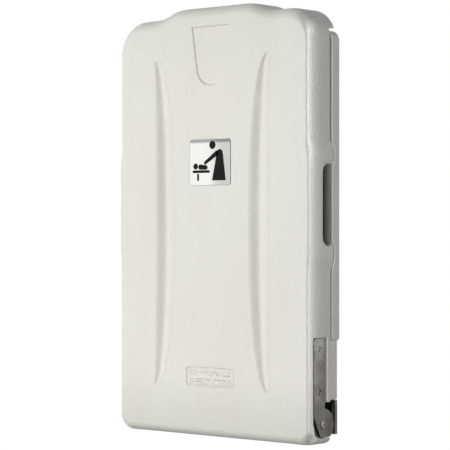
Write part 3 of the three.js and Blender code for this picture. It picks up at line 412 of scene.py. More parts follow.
def arm_recess_outline():
    """Side view of the shallow recess that the arm lies in, open towards the wall below its pad."""
    recess_front, recess_rear = arm.far + ARM_RECESS[0], ARM_REAR - ARM_RECESS[1]
    pad_foot = PIVOT_HEIGHT + ARM_LOBE + ARM_NOTCH + RECESS_PAD_ROOM
    foot_line = arm.low - HINGE_ROOM
    head_line = arm.high + HINGE_ROOM
    loop = [(recess_rear, head_line), (recess_front, head_line), (recess_front, PIVOT_HEIGHT)]
    loop += [(recess_front - back, foot_line + lift) for back, lift in RECESS_BEND]
    loop += [(PIVOT_DEPTH + ARM_DIAGONAL[1] + RECESS_TOE, foot_line), (RECESS_OPENING, foot_line)]
    return loop + [(RECESS_OPENING, pad_foot), (recess_rear, pad_foot)]


# Fields: negative inside a shape, about a distance in millimetres

def polygon_field(a, b, loop):
    """Signed distance to a closed loop, and the upward part of the nearest edge's outward normal."""
    best = np.full(a.shape, np.inf)
    rise = np.zeros(a.shape)
    inside = np.zeros(a.shape, bool)
    area = sum(p[0] * q[1] - q[0] * p[1] for p, q in zip(loop, loop[1:] + loop[:1]))
    for (a0, b0), (a1, b1) in zip(loop, loop[1:] + loop[:1]):
        ea, eb = a1 - a0, b1 - b0
        length = math.hypot(ea, eb)
        if length < 1e-6:
            continue
        t = np.clip(((a - a0) * ea + (b - b0) * eb) / length ** 2, 0, 1)
        squared = (a - a0 - t * ea) ** 2 + (b - b0 - t * eb) ** 2
        closer = squared < best
        best = np.where(closer, squared, best)
        rise = np.where(closer, -math.copysign(ea, ea * area) / length, rise)
        if eb:
            inside ^= ((b0 > b) != (b1 > b)) & (a < a0 + (b - b0) * ea / eb)
    return np.where(inside, -1, 1) * np.sqrt(best), rise


def rectangle_field(a, b, left, right, low, high, radius):
    across = np.abs(a - (left + right) / 2) - (right - left) / 2 + radius
    along = np.abs(b - (low + high) / 2) - (high - low) / 2 + radius
    outside = np.hypot(np.maximum(across, 0), np.maximum(along, 0))
    return outside + np.minimum(np.maximum(across, along), 0) - radius


def rounded_front(side, below_front, reach, rise):
    """A slab whose edge turns from its side to its front on a quarter ellipse."""
    u = np.maximum(1 + side / reach, 0)
    v = np.maximum(1 - below_front / rise, 0)
    radius = np.maximum(np.hypot(u, v), 1e-3)
    slope = np.hypot(u / reach, v / rise) / radius
    return (radius - 1) / np.maximum(slope, 1 / np.maximum(reach, rise))


def both(a, b, radius=0.0):
    """Where two fields meet, with the edge between them rounded."""
    joined = np.maximum(a, b)
    if radius:
        near = np.maximum(radius - np.abs(a - b), 0) / radius
        joined = joined + near * near * radius / 4
    return joined


def either(a, b, radius=0.0):
    return -both(-a, -b, radius)


def less(a, b, radius=0.0):
    return both(a, -b, radius)


def smooth_step(t):
    t = np.clip(t, 0, 1)
    return t * t * (3 - 2 * t)


def share_inside(field, slope):
    """One inside a field and nothing outside it, with a smooth slope across its edge."""
    return smooth_step(0.5 - field / slope)


# Grids and skins

def grid_lines(*runs):
    """Grid lines through runs of (start, step), ended by a last value."""
    lines = []
    ends = [run[0] for run in runs[1:-1]] + [runs[-1]]
    for (start, step), stop in zip(runs[:-1], ends):
        count = max(1, round((stop - start) / step))
        lines.append(np.linspace(start, stop, count, endpoint=False))
    return np.concatenate(lines + [[runs[-1]]])


def padded_lines(low, high, margin, step):
    """Even grid lines over a span, with a margin at both ends."""
    return grid_lines((low - margin, step), high + margin)


def mirrored_grid(across, depths, heights):
    """Grid lines across, outwards and up, alike on both sides of the middle."""
    half = grid_lines(*across)
    return np.concatenate([-half[:0:-1], half]), grid_lines(*depths), grid_lines(*heights)


def open_grid(lines):
    """The x, depth and height of a grid's lines, shaped to spread over the whole grid."""
    return lines[0][:, None, None], lines[1][None, :, None], lines[2][None, None, :]


def flat_grid(lines):
    """The x and height of a grid's points, seen from the front."""
    return np.meshgrid(lines[0], lines[2], indexing="ij")


def corner_values(field, cells, corner):
    i, j, k = cells
    return field[i + corner[0], j + corner[1], k + corner[2]]


def crossing_points(field, lines, cells):
    """One point in each cell, amid the places where the cell's edges cross the surface."""
    total = np.zeros((len(cells[0]), 3))
    hits = np.zeros(len(cells[0]))
    for corner in CELL_CORNERS:
        for axis in range(3):
            if corner[axis]:
                continue
            other = tuple(c + (n == axis) for n, c in enumerate(corner))
            here, there = corner_values(field, cells, corner), corner_values(field, cells, other)
            cut = (here < 0) != (there < 0)
            share = np.where(cut, here / np.where(cut, here - there, 1), 0)
            for n in range(3):
                start = lines[n][cells[n] + corner[n]]
                stop = lines[n][cells[n] + other[n]]
                total[:, n] += np.where(cut, start + share * (stop - start), 0)
            hits += cut
    points = total / hits[:, None]
    points[:, 1] *= -1
    return points


def quad_faces(inside, number):
    """A face round each grid edge that crosses the surface, through the points of its four cells."""
    last = [n - 1 for n in inside.shape]
    quads = []
    for axis in range(3):
        b, c = (axis + 1) % 3, (axis + 2) % 3
        low = [slice(None)] * 3
        high = [slice(None)] * 3
        low[axis], high[axis] = slice(0, -1), slice(1, None)
        starts = inside[tuple(low)]
        flips = np.nonzero(starts != inside[tuple(high)])
        keep = (flips[b] > 0) & (flips[c] > 0) & (flips[b] < last[b]) & (flips[c] < last[c])
        place = [f[keep] for f in flips]
        outward = starts[tuple(place)]
        around = []
        for step_b, step_c in ((1, 1), (0, 1), (0, 0), (1, 0)):
            spot = list(place)
            spot[b] = place[b] - step_b
            spot[c] = place[c] - step_c
            around.append(number[tuple(spot)])
        ring = np.stack(around, 1)
        quads.append(np.where(outward[:, None], ring[:, ::-1], ring))
    return np.concatenate(quads)


def quad_mesh(name, points, faces):
    """A smooth-shaded mesh in metres from points in millimetres."""
    mesh = bpy.data.meshes.new(name)
    mesh.vertices.add(len(points))
    mesh.vertices.foreach_set("co", (points * METRE).astype(np.float32).ravel())
    mesh.loops.add(faces.size)
    mesh.loops.foreach_set("vertex_index", faces.astype(np.int32).ravel())
    mesh.polygons.add(len(faces))
    mesh.polygons.foreach_set("loop_start", np.arange(0, faces.size, 4, dtype=np.int32))
    mesh.update(calc_edges=True)
    mesh.validate()
    mesh.shade_smooth()
    return mesh


def skin(name, field, lines):
    """A closed quad mesh of the surface where the field is zero: one vertex in each cell it crosses."""
    inside = field < 0
    wide, deep, tall = [n - 1 for n in field.shape]
    count = sum(inside[i:wide + i, j:deep + j, k:tall + k].astype(np.int8) for i, j, k in CELL_CORNERS)
    crossed = (count > 0) & (count < len(CELL_CORNERS))
    cells = np.nonzero(crossed)
    number = np.full(crossed.shape, -1, np.int64)
    number[crossed] = np.arange(len(cells[0]))
    points = crossing_points(field, lines, cells)
    return add(name, quad_mesh(name, points, quad_faces(inside, number)))


# Pieces

def add(name, data):
    obj = bpy.data.objects.new(name, data)
    bpy.context.scene.collection.objects.link(obj)
    return obj


def fit_piece(obj, body, slot, material, *nodes):
    """Dress a piece, hang it on its CAD body and let it stand for its CAD nodes."""
    obj.data.materials.clear()
    obj.data.materials.append(material)
    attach(obj, body)
    if nodes:
        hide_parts(*nodes)


def plate(name, loops, near, far, bevel, facing):
    """A flat plate with rounded edges and holes, from loops drawn in its own plane."""
    curve = bpy.data.curves.new(name + "_curve", "CURVE")
    curve.dimensions = "2D"
    curve.fill_mode = "BOTH"
    curve.extrude = ((far - near) / 2 - bevel) * METRE
    curve.bevel_depth = bevel * METRE
    curve.bevel_resolution = 2
    curve.offset = -bevel * METRE
    for loop in loops:
        spline = curve.splines.new("POLY")
        spline.points.add(len(loop) - 1)
        flat = [value for a, b in loop for value in (a * METRE, b * METRE, 0, 1)]
        spline.points.foreach_set("co", flat)
        spline.use_cyclic_u = True
    maker = add(name + "_maker", curve)
    bpy.context.view_layer.update()
    mesh = bpy.data.meshes.new_from_object(maker.evaluated_get(bpy.context.evaluated_depsgraph_get()))
    bpy.data.objects.remove(maker)
    bpy.data.curves.remove(curve)
    mesh.transform(facing @ Matrix.Translation((0, 0, (near + far) / 2 * METRE)))
    shaped = bmesh.new()
    shaped.from_mesh(mesh)
    bmesh.ops.remove_doubles(shaped, verts=shaped.verts, dist=1e-6)
    bmesh.ops.recalc_face_normals(shaped, faces=shaped.faces)
    shaped.to_mesh(mesh)
    shaped.free()
    mesh.name = name
    mesh.set_sharp_from_angle(angle=PLATE_SHARP_ANGLE)
    return add(name, mesh)


# Materials

def set_inputs(tree, target, inputs):
    """Set a node's inputs to values, or link them from sockets."""
    for key, value in inputs.items():
        if isinstance(value, bpy.types.NodeSocket):
            tree.links.new(value, target.inputs[key])
        else:
            target.inputs[key].default_value = value


def node(tree, kind, inputs=None, **settings):
    made = tree.nodes.new(kind)
    for key, value in settings.items():
        setattr(made, key, value)
    set_inputs(tree, made, inputs or {})
    return made


def noise(tree, place, scale, detail, roughness=0.5):
    inputs = {"Vector": place, "Scale": scale, "Detail": detail, "Roughness": roughness}
    return node(tree, "ShaderNodeTexNoise", inputs).outputs["Fac"]


def new_material(name):
    material = bpy.data.materials.new(name)
    material.use_nodes = True
    tree = material.node_tree
    shader = tree.nodes["Principled BSDF"]
    place = node(tree, "ShaderNodeTexCoord").outputs["Object"]
    return material, tree, shader, place


def ramp(tree, factor, stops):
    made = node(tree, "ShaderNodeValToRGB", {"Fac": factor})
    elements = made.color_ramp.elements
    while len(elements) < len(stops):
        elements.new(0.5)
    for element, (position, colour) in zip(elements, stops):
        element.position = position
        element.color = (*colour, 1)
    return made.outputs["Color"]


def spread(tree, factor, low, high, start=0.0, stop=1.0):
    inputs = {"Value": factor, "From Min": start, "From Max": stop, "To Min": low, "To Max": high}
    return node(tree, "ShaderNodeMapRange", inputs).outputs["Result"]


def stretched(tree, place, scale):
    return node(tree, "ShaderNodeMapping", {"Vector": place, "Scale": scale}).outputs["Vector"]


def combine(tree, operation, first, second):
    return node(tree, "ShaderNodeMath", {0: first, 1: second}, operation=operation).outputs["Value"]


def linear(red, green, blue):
    """A colour written in screen values, as the shader takes it."""
    def channel(value):
        value /= 255
        return value / 12.92 if value <= 0.04045 else ((value + 0.055) / 1.055) ** 2.4
    return channel(red), channel(green), channel(blue)


def moulded_plastic(name, dark, light, roughness, grain_depth, gloss=0.35):
    """Moulded plastic with a fine pebbled grain, faint flow marks and slight unevenness of tone."""
    material, tree, shader, place = new_material(name)
    grain = noise(tree, place, 290, 1)
    pebble = node(tree, "ShaderNodeTexVoronoi", {"Vector": place, "Scale": 460, "Smoothness": 0.7},
                  feature="SMOOTH_F1")
    drift = noise(tree, place, 5, 3)
    flow = noise(tree, stretched(tree, place, (4, 4, 1.5)), 2, 2)
    mixed = combine(tree, "ADD", grain, drift)
    tone = combine(tree, "ADD", mixed, flow)
    colour = ramp(tree, spread(tree, tone, 0, 1, 1.0, 2.0), [(0, dark), (1, light)])
    rough = spread(tree, mixed, roughness - 0.06, roughness + 0.08, 0.6, 1.4)
    fine = node(tree, "ShaderNodeBump",
                {"Height": pebble.outputs["Distance"], "Strength": 0.35, "Distance": grain_depth * METRE})
    coarse = node(tree, "ShaderNodeBump",
                  {"Height": grain, "Strength": 1, "Distance": grain_depth * METRE,
                   "Normal": fine.outputs["Normal"]})
    set_inputs(tree, shader, {"Base Color": colour, "Roughness": rough,
                              "Normal": coarse.outputs["Normal"], "Specular IOR Level": gloss})
    return material


def paint_shade(material, axis, start, stop, tone):
    """Paint shade into a material, darker smoothly along one axis of its piece, from start to stop in
    millimetres.
    """
    tree = material.node_tree
    shader = tree.nodes["Principled BSDF"]
    colour = shader.inputs["Base Color"].links[0].from_socket
    place = node(tree, "ShaderNodeTexCoord").outputs["Object"]
    along = node(tree, "ShaderNodeSeparateXYZ", {"Vector": place}).outputs[axis]
    inputs = {"Value": along, "From Min": start * METRE, "From Max": stop * METRE,
              "To Min": 1, "To Max": tone}
    share = node(tree, "ShaderNodeMapRange", inputs, interpolation_type="SMOOTHSTEP").outputs["Result"]
    faded = node(tree, "ShaderNodeVectorMath", {0: colour, 1: share}, operation="MULTIPLY")
    tree.links.new(faded.outputs["Vector"], shader.inputs["Base Color"])


def brushed_metal(name, dark, light, roughness, along, scuffs=0.5):
    """Brushed steel: fine scratches along one direction, with smudges and scuffs over them."""
    material, tree, shader, place = new_material(name)
    brush = noise(tree, stretched(tree, place, along), 1, 5, 0.7)
    smudge = noise(tree, place, 28, 4)
    mixed = node(tree, "ShaderNodeMix", {"Factor": scuffs, "A": brush, "B": smudge}).outputs["Result"]
    colour = ramp(tree, mixed, [(0.3, dark), (0.7, light)])
    rough = spread(tree, mixed, roughness - 0.1, roughness + 0.12, 0.3, 0.7)
    scratch = node(tree, "ShaderNodeBump", {"Height": brush, "Strength": 0.25, "Distance": 0.05 * METRE})
    set_inputs(tree, shader, {"Base Color": colour, "Roughness": rough,
                              "Normal": scratch.outputs["Normal"], "Metallic": 1})
    return material


def woven_webbing(name):
    """Nylon webbing: a twill of fine ribs, with lint and faded high spots."""
    material, tree, shader, place = new_material(name)
    ribs = node(tree, "ShaderNodeTexWave", {"Vector": place, "Scale": 210, "Distortion": 0.6, "Detail": 1},
                bands_direction="DIAGONAL")
    cross = node(tree, "ShaderNodeTexWave", {"Vector": place, "Scale": 150, "Distortion": 0.4, "Detail": 1},
                 bands_direction="X")
    lint = noise(tree, place, 900, 2)
    weave = combine(tree, "MULTIPLY", ribs.outputs["Fac"], cross.outputs["Fac"])
    mixed = combine(tree, "ADD", weave, lint)
    colour = ramp(tree, spread(tree, mixed, 0, 1, 0.2, 1.6),
                  [(0, linear(24, 25, 28)), (1, linear(74, 77, 84))])
    bump = node(tree, "ShaderNodeBump", {"Height": weave, "Strength": 0.8, "Distance": 0.3 * METRE})
    set_inputs(tree, shader, {"Base Color": colour, "Roughness": 0.85, "Normal": bump.outputs["Normal"],
                              "Sheen Weight": 0.25})
    return material


# Finishes: darkest and lightest tone, roughness, then grain depth in millimetres and gloss of plastics,
# or the fineness of metals' brushing along each axis and their share of scuffs
PALE_TONES = (linear(222, 222, 214), linear(233, 233, 227))
pale_plastic = moulded_plastic("pale_plastic", *PALE_TONES, 0.5, 0.8, 0.5)
tray_plastic = moulded_plastic("tray_plastic", linear(219, 219, 211), linear(230, 230, 223), 0.42, 0.1)
grey_plastic = moulded_plastic("grey_plastic", linear(122, 122, 118), linear(142, 142, 137), 0.55, 0.14)
black_plastic = moulded_plastic("black_plastic", linear(24, 24, 25), linear(42, 42, 43), 0.45, 0.1)
bearing_plastic = moulded_plastic(
    "bearing_plastic", linear(206, 200, 178), linear(222, 216, 197), 0.4, 0.05)
rubber = moulded_plastic("rubber", linear(26, 26, 26), linear(44, 43, 42), 0.8, 0.2)
arm_steel = brushed_metal("arm_steel", linear(84, 83, 79), linear(106, 104, 99), 0.36, (60, 60, 1400))
bar_steel = brushed_metal("bar_steel", linear(140, 139, 134), linear(170, 168, 162), 0.3, (60, 1400, 1400))
screw_steel = brushed_metal("screw_steel", linear(46, 45, 43), linear(78, 76, 73), 0.5, (700, 700, 700))
sign_steel = brushed_metal(
    "sign_steel", linear(118, 118, 117), linear(140, 140, 139), 0.36, (1500, 60, 40), 0.25)
# Pale plastic for the finger scoops, kept apart so that painted shade can darken their deep part
grip_plastic_painted_shade = moulded_plastic("grip_plastic_painted_shade", *PALE_TONES, 0.8, 0.2, 0.02)
ink = moulded_plastic("ink", linear(10, 10, 10), linear(20, 20, 21), 0.7, 0.04, 0.1)
webbing = woven_webbing("webbing")

# Painted shade, slow darkening where less light falls: the axis, where the darkening starts and stops, and
# the share of tone left
PAINTED_SHADES = (
    # Painted shade: the pale plastic darker towards the foot, where the light falls off
    (pale_plastic, "Z", -290, foot, 0.85),
    # Painted shade: the pale plastic slightly darker towards the crown
    (pale_plastic, "Z", 250, crown, 0.95),
    # Painted shade under the foot, where no light comes from below
    (pale_plastic, "Z", -424, foot, 0.7),
    # Painted shade: the steel arms and wall brackets darker downwards
    (arm_steel, "Z", -280, -380, 0.55),
    # Painted shade deep in the finger scoops, dark under the bed's edge
    (grip_plastic_painted_shade, "Y", -24, -37.5, 0.03),
    # Painted reflection: the sign's steel darker towards its right, where it would reflect less light
    (sign_steel, "X", -8, 34, 0.68),
    # Painted shade along the top edge of the sign
    (sign_steel, "Z", sign.high - 9, sign.high - 4, 0.45),
)
for shade_row in PAINTED_SHADES:
    paint_shade(*shade_row)


# Bed shell

def groove_relief(x, z):
    """Depth of the two crescent grooves below a front that has a slight bead along their edges."""
    t = np.abs(z - GROOVE_CENTRE) / GROOVE_HALF
    full = np.maximum(1 - t ** GROOVE_FULLNESS, 0) ** (1 / GROOVE_FULLNESS)
    middle = GROOVE_TIP - sum(GROOVE_BOWS) / 2 * full
    half = np.maximum((GROOVE_BOWS[1] - GROOVE_BOWS[0]) / 2 * full, 1)
    aside = np.abs(np.abs(x) - middle)
    dip = np.maximum(1 - (aside / half) ** 2, 0) ** GROOVE_SOFTNESS
    bead = np.exp(-((aside - half - BEAD_OFFSET) / BEAD_WIDTH) ** 2) * smooth_step(BEAD_FADE * full)
    return BEAD_RISE * (1 - bead) + GROOVE_CUT * full * dip


def tactile_marks(x, z):
    """Raised dots in two bands of rows across the embossed panel, some left out."""
    column, across = np.divmod(x / TACTILE_PITCH, 1)
    row, along = np.divmod((z - PANEL_CENTRE) / TACTILE_PITCH + 0.5, 1)
    draw = np.sin(column * TACTILE_DRAW[0] + row * TACTILE_DRAW[1]) * TACTILE_DRAW[2] % 1
    shown = (row != 0) & (draw < TACTILE_SHARE)
    spot = TACTILE_RADIUS - np.hypot(across - 0.5, along - 0.5)
    return TACTILE_RISE * shown * smooth_step(spot / TACTILE_SLOPE)


def broad_relief(x, z):
    """Depth of the grooves and of the shield recess, which the inside of the shell follows."""
    shield, _ = polygon_field(x, z, shield_outline())
    return groove_relief(x, z) + SHIELD_CUT * share_inside(shield, SHIELD_SLOPE)


def front_relief(x, z):
    """How far the front lies behind its highest plane."""
    relief = broad_relief(x, z)
    seat = rectangle_field(x, z, sign.left - SIGN_ROOM, sign.right + SIGN_ROOM,
                           sign.low - SIGN_ROOM, sign.high + SIGN_ROOM, SIGN_CORNER + SIGN_ROOM)
    relief = relief + (front - sign.near + SEAT_ROOM) * share_inside(seat, SEAT_SLOPE)
    panel = rectangle_field(x, z, -PANEL_SIZE[0] / 2, PANEL_SIZE[0] / 2, PANEL_CENTRE - PANEL_SIZE[1] / 2,
                            PANEL_CENTRE + PANEL_SIZE[1] / 2, PANEL_CORNER)
    line = PANEL_LINE[0] * np.exp(-(panel / PANEL_LINE[1]) ** 2)
    sunk = PANEL_CUT - tactile_marks(x, z) * smooth_step((-panel - TACTILE_MARGIN) / TACTILE_FADE)
    return relief + line + sunk * share_inside(panel, PANEL_SLOPE)


def ear_swell(depth, z):
    """Outward flare of the rim at both ends of a grip."""
    along = sum(
        np.maximum(1 - ((z - middle) / EAR_HALF) ** 2, 0) ** 2
        for middle in (GRIP_TOP + EAR_OFFSET, GRIP_FOOT - EAR_OFFSET))
    inward = np.maximum(1 - (np.maximum(depth - RIM_DEPTH, 0) / EAR_REACH) ** 2, 0) ** 2
    return EAR_OUT * along * inward


def ear_dip(z):
    """How far the seam bends towards the wall beside both ends of a grip."""
    dip = 0
    for past, (start, full) in zip((z - GRIP_TOP, GRIP_FOOT - z), EAR_RAMPS):
        dip = dip + smooth_step((start - past) / (start - full)) * smooth_step(past / EAR_END + 0.5)
    return EAR_DIP * dip


def grip_field(depth, z):
    """Side view of a finger grip, open towards the wall."""
    return rectangle_field(depth, z, -GRIP_DEPTH, GRIP_DEPTH, GRIP_FOOT, GRIP_TOP, GRIP_CORNER)


def grip_mouth(depth, z):
    """The same side view with ends that flare where they meet the rim."""
    behind = (depth - shell.far - SEAM + EAR_DIP) / EAR_ROUND
    return grip_field(depth, z) - EAR_ROUND * np.clip(1 - behind, 0, 1) ** 2


def hinge_cuts(x, depth, z):
    """Room in the bed for the steel arm and for the bracket's cheek as the bed turns."""
    recess_floor = arm.left - CLEARANCE
    slot_floor = bush.left - HINGE_ROOM
    side_depth, side_z = np.meshgrid(depth.ravel(), z.ravel(), indexing="ij")
    recess, _ = polygon_field(side_depth, side_z, arm_recess_outline())
    recess = both(recess[None], recess_floor - np.abs(x))
    lobe = np.hypot(depth - PIVOT_DEPTH, z - PIVOT_HEIGHT) - CHEEK_RADIUS - HINGE_ROOM
    rear = both(depth - PIVOT_DEPTH, z - cheek.high - HINGE_ROOM)
    drop = PIVOT_HEIGHT - cheek.low + HINGE_ROOM
    below = both(depth - PIVOT_DEPTH - drop, z - PIVOT_HEIGHT + drop)
    slot = both(either(either(lobe, rear), below), both(slot_floor - np.abs(x), np.abs(x) - arm.left))
    return either(recess, slot)


def edge_sizes(rise):
    """Reach and way back of the front's edge, which differ at the sides, the top and the foot."""
    up, down = np.maximum(rise, 0)[:, None], np.maximum(-rise, 0)[:, None]
    return [side + (top - side) * up + (low - side) * down
            for side, top, low in zip(SIDE_EDGE, TOP_EDGE, FOOT_EDGE)]


def heel_blocks(x, z, depth):
    """Blocks that fill the bed's foot under the two hinge arms."""
    heel = rectangle_field(np.abs(x), z, HEEL_INNER, half_width, foot + HEEL_LIFT, HEEL_TOP, HEEL_RADIUS)
    heel = rounded_front(heel[:, None], front - depth, *SIDE_EDGE)
    return both(heel, depth - HEEL_DEPTH, HEEL_ROUND)


def rim_and_front(depth, z):
    """All that lies in front of the rim, which has a lip at the top and a round foot."""
    rim_line = RIM_DEPTH + (LIP_DEPTH - RIM_DEPTH) * smooth_step((z - LIP_FOOT) / LIP_STEP) - ear_dip(z)
    corner = np.hypot(np.maximum(rim_line + REAR_FOOT_RADIUS - depth, 0),
                      np.maximum(foot + REAR_FOOT_RADIUS - z, 0)) - REAR_FOOT_RADIUS
    return both(rim_line - depth, corner)


def bed_shell():
    lines = mirrored_grid(BED_ACROSS, BED_DEPTHS, BED_HEIGHTS)
    x, depth, z = open_grid(lines)
    flat_x, flat_z = flat_grid(lines)
    side, rise = polygon_field(flat_x, flat_z, bed_outline())
    reach, back = edge_sizes(rise)
    upright = 1 - np.abs(rise)[:, None]
    flank = side[:, None] - ear_swell(depth, z) * upright
    body = rounded_front(flank, front - front_relief(flat_x, flat_z)[:, None] - depth, reach, back)
    body = either(body, heel_blocks(flat_x, flat_z, depth), HEEL_ROUND)
    inside = front - BED_WALL - broad_relief(flat_x, flat_z)[:, None]
    hollow = rounded_front(side[:, None] + BED_WALL, inside - depth, reach, back)
    block = both(both(BLOCK_INNER - np.abs(x), depth - BLOCK_FRONT), z - BLOCK_TOP)
    body = less(body, less(hollow, block))
    body = both(body, rim_and_front(depth, z), RIM_ROUND)
    pocket = both(grip_mouth(depth, z), half_width + GRIP_SWELL - GRIP_POCKET - np.abs(x))
    body = less(body, pocket, GRIP_ROUND)
    body = less(body, hinge_cuts(x, depth, z), CUT_ROUND)
    fit_piece(skin("bed_shell", body, lines), BED, "pale_plastic", pale_plastic, "bed_cover")


def grip_scoop(hand):
    """Finger scoop behind a cut-out: deep under the bed's edge and shallow towards the wall."""
    span = Span(f"grip_cup_{hand}")
    inner, outer = sorted((abs(span.left), abs(span.right)))
    lip = half_width - SCOOP_ROOM
    rear = shell.far + SCOOP_ROOM
    spans = ((inner, lip), (rear, span.far), (span.low, span.high))
    lines = [padded_lines(*ends, *grid) for ends, grid in zip(spans, SCOOP_GRID)]
    if span.x < 0:
        lines[0] = -lines[0][::-1]
    x, depth, z = open_grid(lines)
    x = np.abs(x)
    block = rectangle_field(depth, z, -span.far, span.far, span.low, span.high, GRIP_CORNER)
    pocket = grip_field(depth, z)
    block = either(both(block, x - outer), both(pocket + SCOOP_ROOM, x - lip))
    block = both(block, both(rear - depth, inner - x))
    rise = np.clip((GRIP_DEPTH - depth) / (GRIP_DEPTH - rear), 0, 1) ** SCOOP_POWER
    surface = inner + SCOOP_FLOOR + (lip - inner - SCOOP_FLOOR - SCOOP_EDGE) * rise
    scoop = less(block, both(pocket, surface - x), SCOOP_ROUND)
    piece = skin(f"grip_scoop_{hand}", scoop, lines)
    # Its plastic has painted shade, dark deep in the scoop
    fit_piece(piece, BED, "grey_plastic", grip_plastic_painted_shade, f"grip_cup_{hand}")


# Changing tray

def tray_dish():
    lines = mirrored_grid(TRAY_ACROSS, TRAY_DEPTHS, TRAY_HEIGHTS)
    x, depth, z = open_grid(lines)
    flat_x, flat_z = flat_grid(lines)
    outline, _ = polygon_field(flat_x, flat_z, bed_outline())
    basin = rectangle_field(flat_x, flat_z, -BASIN_HALF, BASIN_HALF, BASIN_FOOT, BASIN_TOP, BASIN_CORNER)
    layer = np.abs(depth - tray.near - TRAY_FLANGE / 2) - TRAY_FLANGE / 2
    flange = both(both(outline[:, None] + TRAY_INSET, layer), tray.low - z)
    flare = np.clip(1 - (depth - tray.near) / BASIN_LIP_ROUND, 0, 1) ** 2
    mouth = basin[:, None] - BASIN_LIP_ROUND * flare
    reach, rise = BASIN_EDGE
    under = rounded_front(mouth - TRAY_WALL, BASIN_FLOOR + TRAY_WALL - depth, reach + TRAY_WALL, rise)
    dish = rounded_front(mouth, BASIN_FLOOR - depth, reach, rise)
    body = less(either(flange, both(under, tray.near - depth)), dish, TRAY_LIP)
    cup = half_width + GRIP_SWELL - GRIP_POCKET - CUP_ROOM - np.abs(x)
    body = less(body, both(grip_field(depth, z) - CUP_ROOM, cup), CUT_EDGE)
    block = both(BLOCK_INNER - CLEARANCE - np.abs(x), z - BLOCK_TOP - CLEARANCE)
    body = less(body, block, CUT_EDGE)
    fit_piece(skin("tray_dish", body, lines), BED, "pale_plastic", tray_plastic, "bed_tray")


# Wall shell

def wall_pan():
    lines = mirrored_grid(PAN_ACROSS, PAN_DEPTHS, PAN_HEIGHTS)
    x, depth, z = open_grid(lines)
    flat_x, flat_z = flat_grid(lines)
    side = polygon_field(flat_x, flat_z, shell_outline())[0][:, None]
    outer = rounded_front(side, shell.far - depth, SHELL_EDGE, SHELL_EDGE)
    inner = rounded_front(side + SHELL_WALL, shell.far - SHELL_WALL - depth, SHELL_EDGE, SHELL_EDGE)
    dip = EAR_GAP * ear_dip(z)
    notch = both(half_width - SHELL_WALL - np.abs(x), shell.far - dip - depth)
    around = both(half_width - 2 * SHELL_WALL - np.abs(x), shell.far - SHELL_WALL - dip - depth)
    body = less(less(outer, less(inner, around)), notch)
    body = both(body, -depth, SHELL_REAR_ROUND)
    opening = rectangle_field(
        flat_x, flat_z, -LINER_HALF - LINER_ROOM, LINER_HALF + LINER_ROOM,
        LINER_FOOT - LINER_ROOM, LINER_TOP + LINER_ROOM, LINER_CORNER + LINER_ROOM)
    body = less(body, opening[:, None], CUT_EDGE)
    for name in BUMPERS:
        bumper = Span(name)
        seat = np.hypot(x - bumper.x, z - bumper.z) - (bumper.right - bumper.left) / 2 - CLEARANCE
        body = less(body, both(seat, shell.far - BUMPER_SEAT - depth), BUMPER_ROUND)
    fit_piece(skin("wall_pan", body, lines), WALL, "pale_plastic", pale_plastic, "wall_shell")


def liner_door():
    """Flush cover of the liner dispenser, with its pull slot and lock hole."""
    face = rounded_rectangle(-LINER_HALF, LINER_HALF, LINER_FOOT, LINER_TOP, LINER_CORNER, 12)
    slot_half = LINER_SLOT_HEIGHT / 2
    slot = capsule((-LINER_SLOT_HALF + slot_half, LINER_SLOT_CENTRE),
                   (LINER_SLOT_HALF - slot_half, LINER_SLOT_CENTRE), slot_half, slot_half)
    hole = circle((0, lock.z), LOCK_HOLE)
    piece = plate("liner_door", [face, slot, hole], liner.near, liner.far, PLASTIC_BEVEL, FACING_FRONT)
    fit_piece(piece, WALL, "pale_plastic", pale_plastic, "liner_cover")


# Sign with a pictogram of a grown-up leaning over a baby on a table

def sign_and_pictogram():
    outline = rounded_rectangle(sign.left, sign.right, sign.low, sign.high, SIGN_CORNER)
    face = plate("sign_face", [outline], sign.near, sign.far - MARK_HEIGHT, SIGN_BEVEL, FACING_FRONT)
    fit_piece(face, BED, "sign_steel", sign_steel, "sign_plate")
    table_height = sign.z - TABLE_DROP
    shapes = {
        "grown_up_head": circle((7, sign.z + 36), 8.6),
        "grown_up_arm": capsule((19, sign.z + 19), (-13, sign.z - 1), 5, 3.6),
        "grown_up_body": arc((27, sign.z + 18), 9, 0, 150) + [
            (14, sign.z - 4), (6, sign.z - 38), (44, sign.z - 38)],
        "baby_head": circle((-40, table_height + 11), 6.4),
        "baby_body": capsule((-27, table_height + 9.5), (-11, table_height + 8.5), 5.6, 4.6),
        "table_top": capsule((-46, table_height), (-3, table_height), 2.8, 2.8),
        "table_leg": capsule((-33, table_height - 6.4), (-33, sign.z - 36), 2.6, 2.6),
    }
    for name, loop in shapes.items():
        mark = plate(name, [loop], sign.far - 2 * MARK_HEIGHT, sign.far, MARK_BEVEL, FACING_FRONT)
        fit_piece(mark, BED, "black_plastic", ink)


# Steel hinge

def hinge_arms():
    for hand in SIDES:
        span = Span(f"hinge_arm_{hand}")
        loops = [arm_outline(), circle((PIVOT_DEPTH, PIVOT_HEIGHT), PIVOT_HOLE)]
        for level in ("upper", "lower"):
            screw_span = Span(f"arm_screw_{level}_{hand}")
            head = (screw_span.far - screw_span.near) / 2
            loops.append(circle((screw_span.depth, screw_span.z), head + CLEARANCE))
        piece = plate(f"arm_plate_{hand}", loops, span.left, span.right, ARM_BEVEL, FACING_RIGHT)
        fit_piece(piece, BED, "brushed_steel", arm_steel, f"hinge_arm_{hand}")


# Screws with crowned heads and a cross recess

def screw_field(down, a, b, head, height, shank, length):
    """A screw's field from the way down from its head and two ways across it."""
    r = np.hypot(a, b)
    cap = both(both(r - head, HEAD_CROWN * (r / head) ** 2 - down, HEAD_ROUND), down - height)
    stem = both(r - shank, np.abs(down - length / 2) - length / 2)
    narrow, wide = np.minimum(np.abs(a), np.abs(b)), np.maximum(np.abs(a), np.abs(b))
    cross = both(both(narrow - CROSS_HALF * head, wide - CROSS_REACH * head), down - CROSS_DEPTH)
    return less(either(cap, stem), cross, CROSS_ROUND)


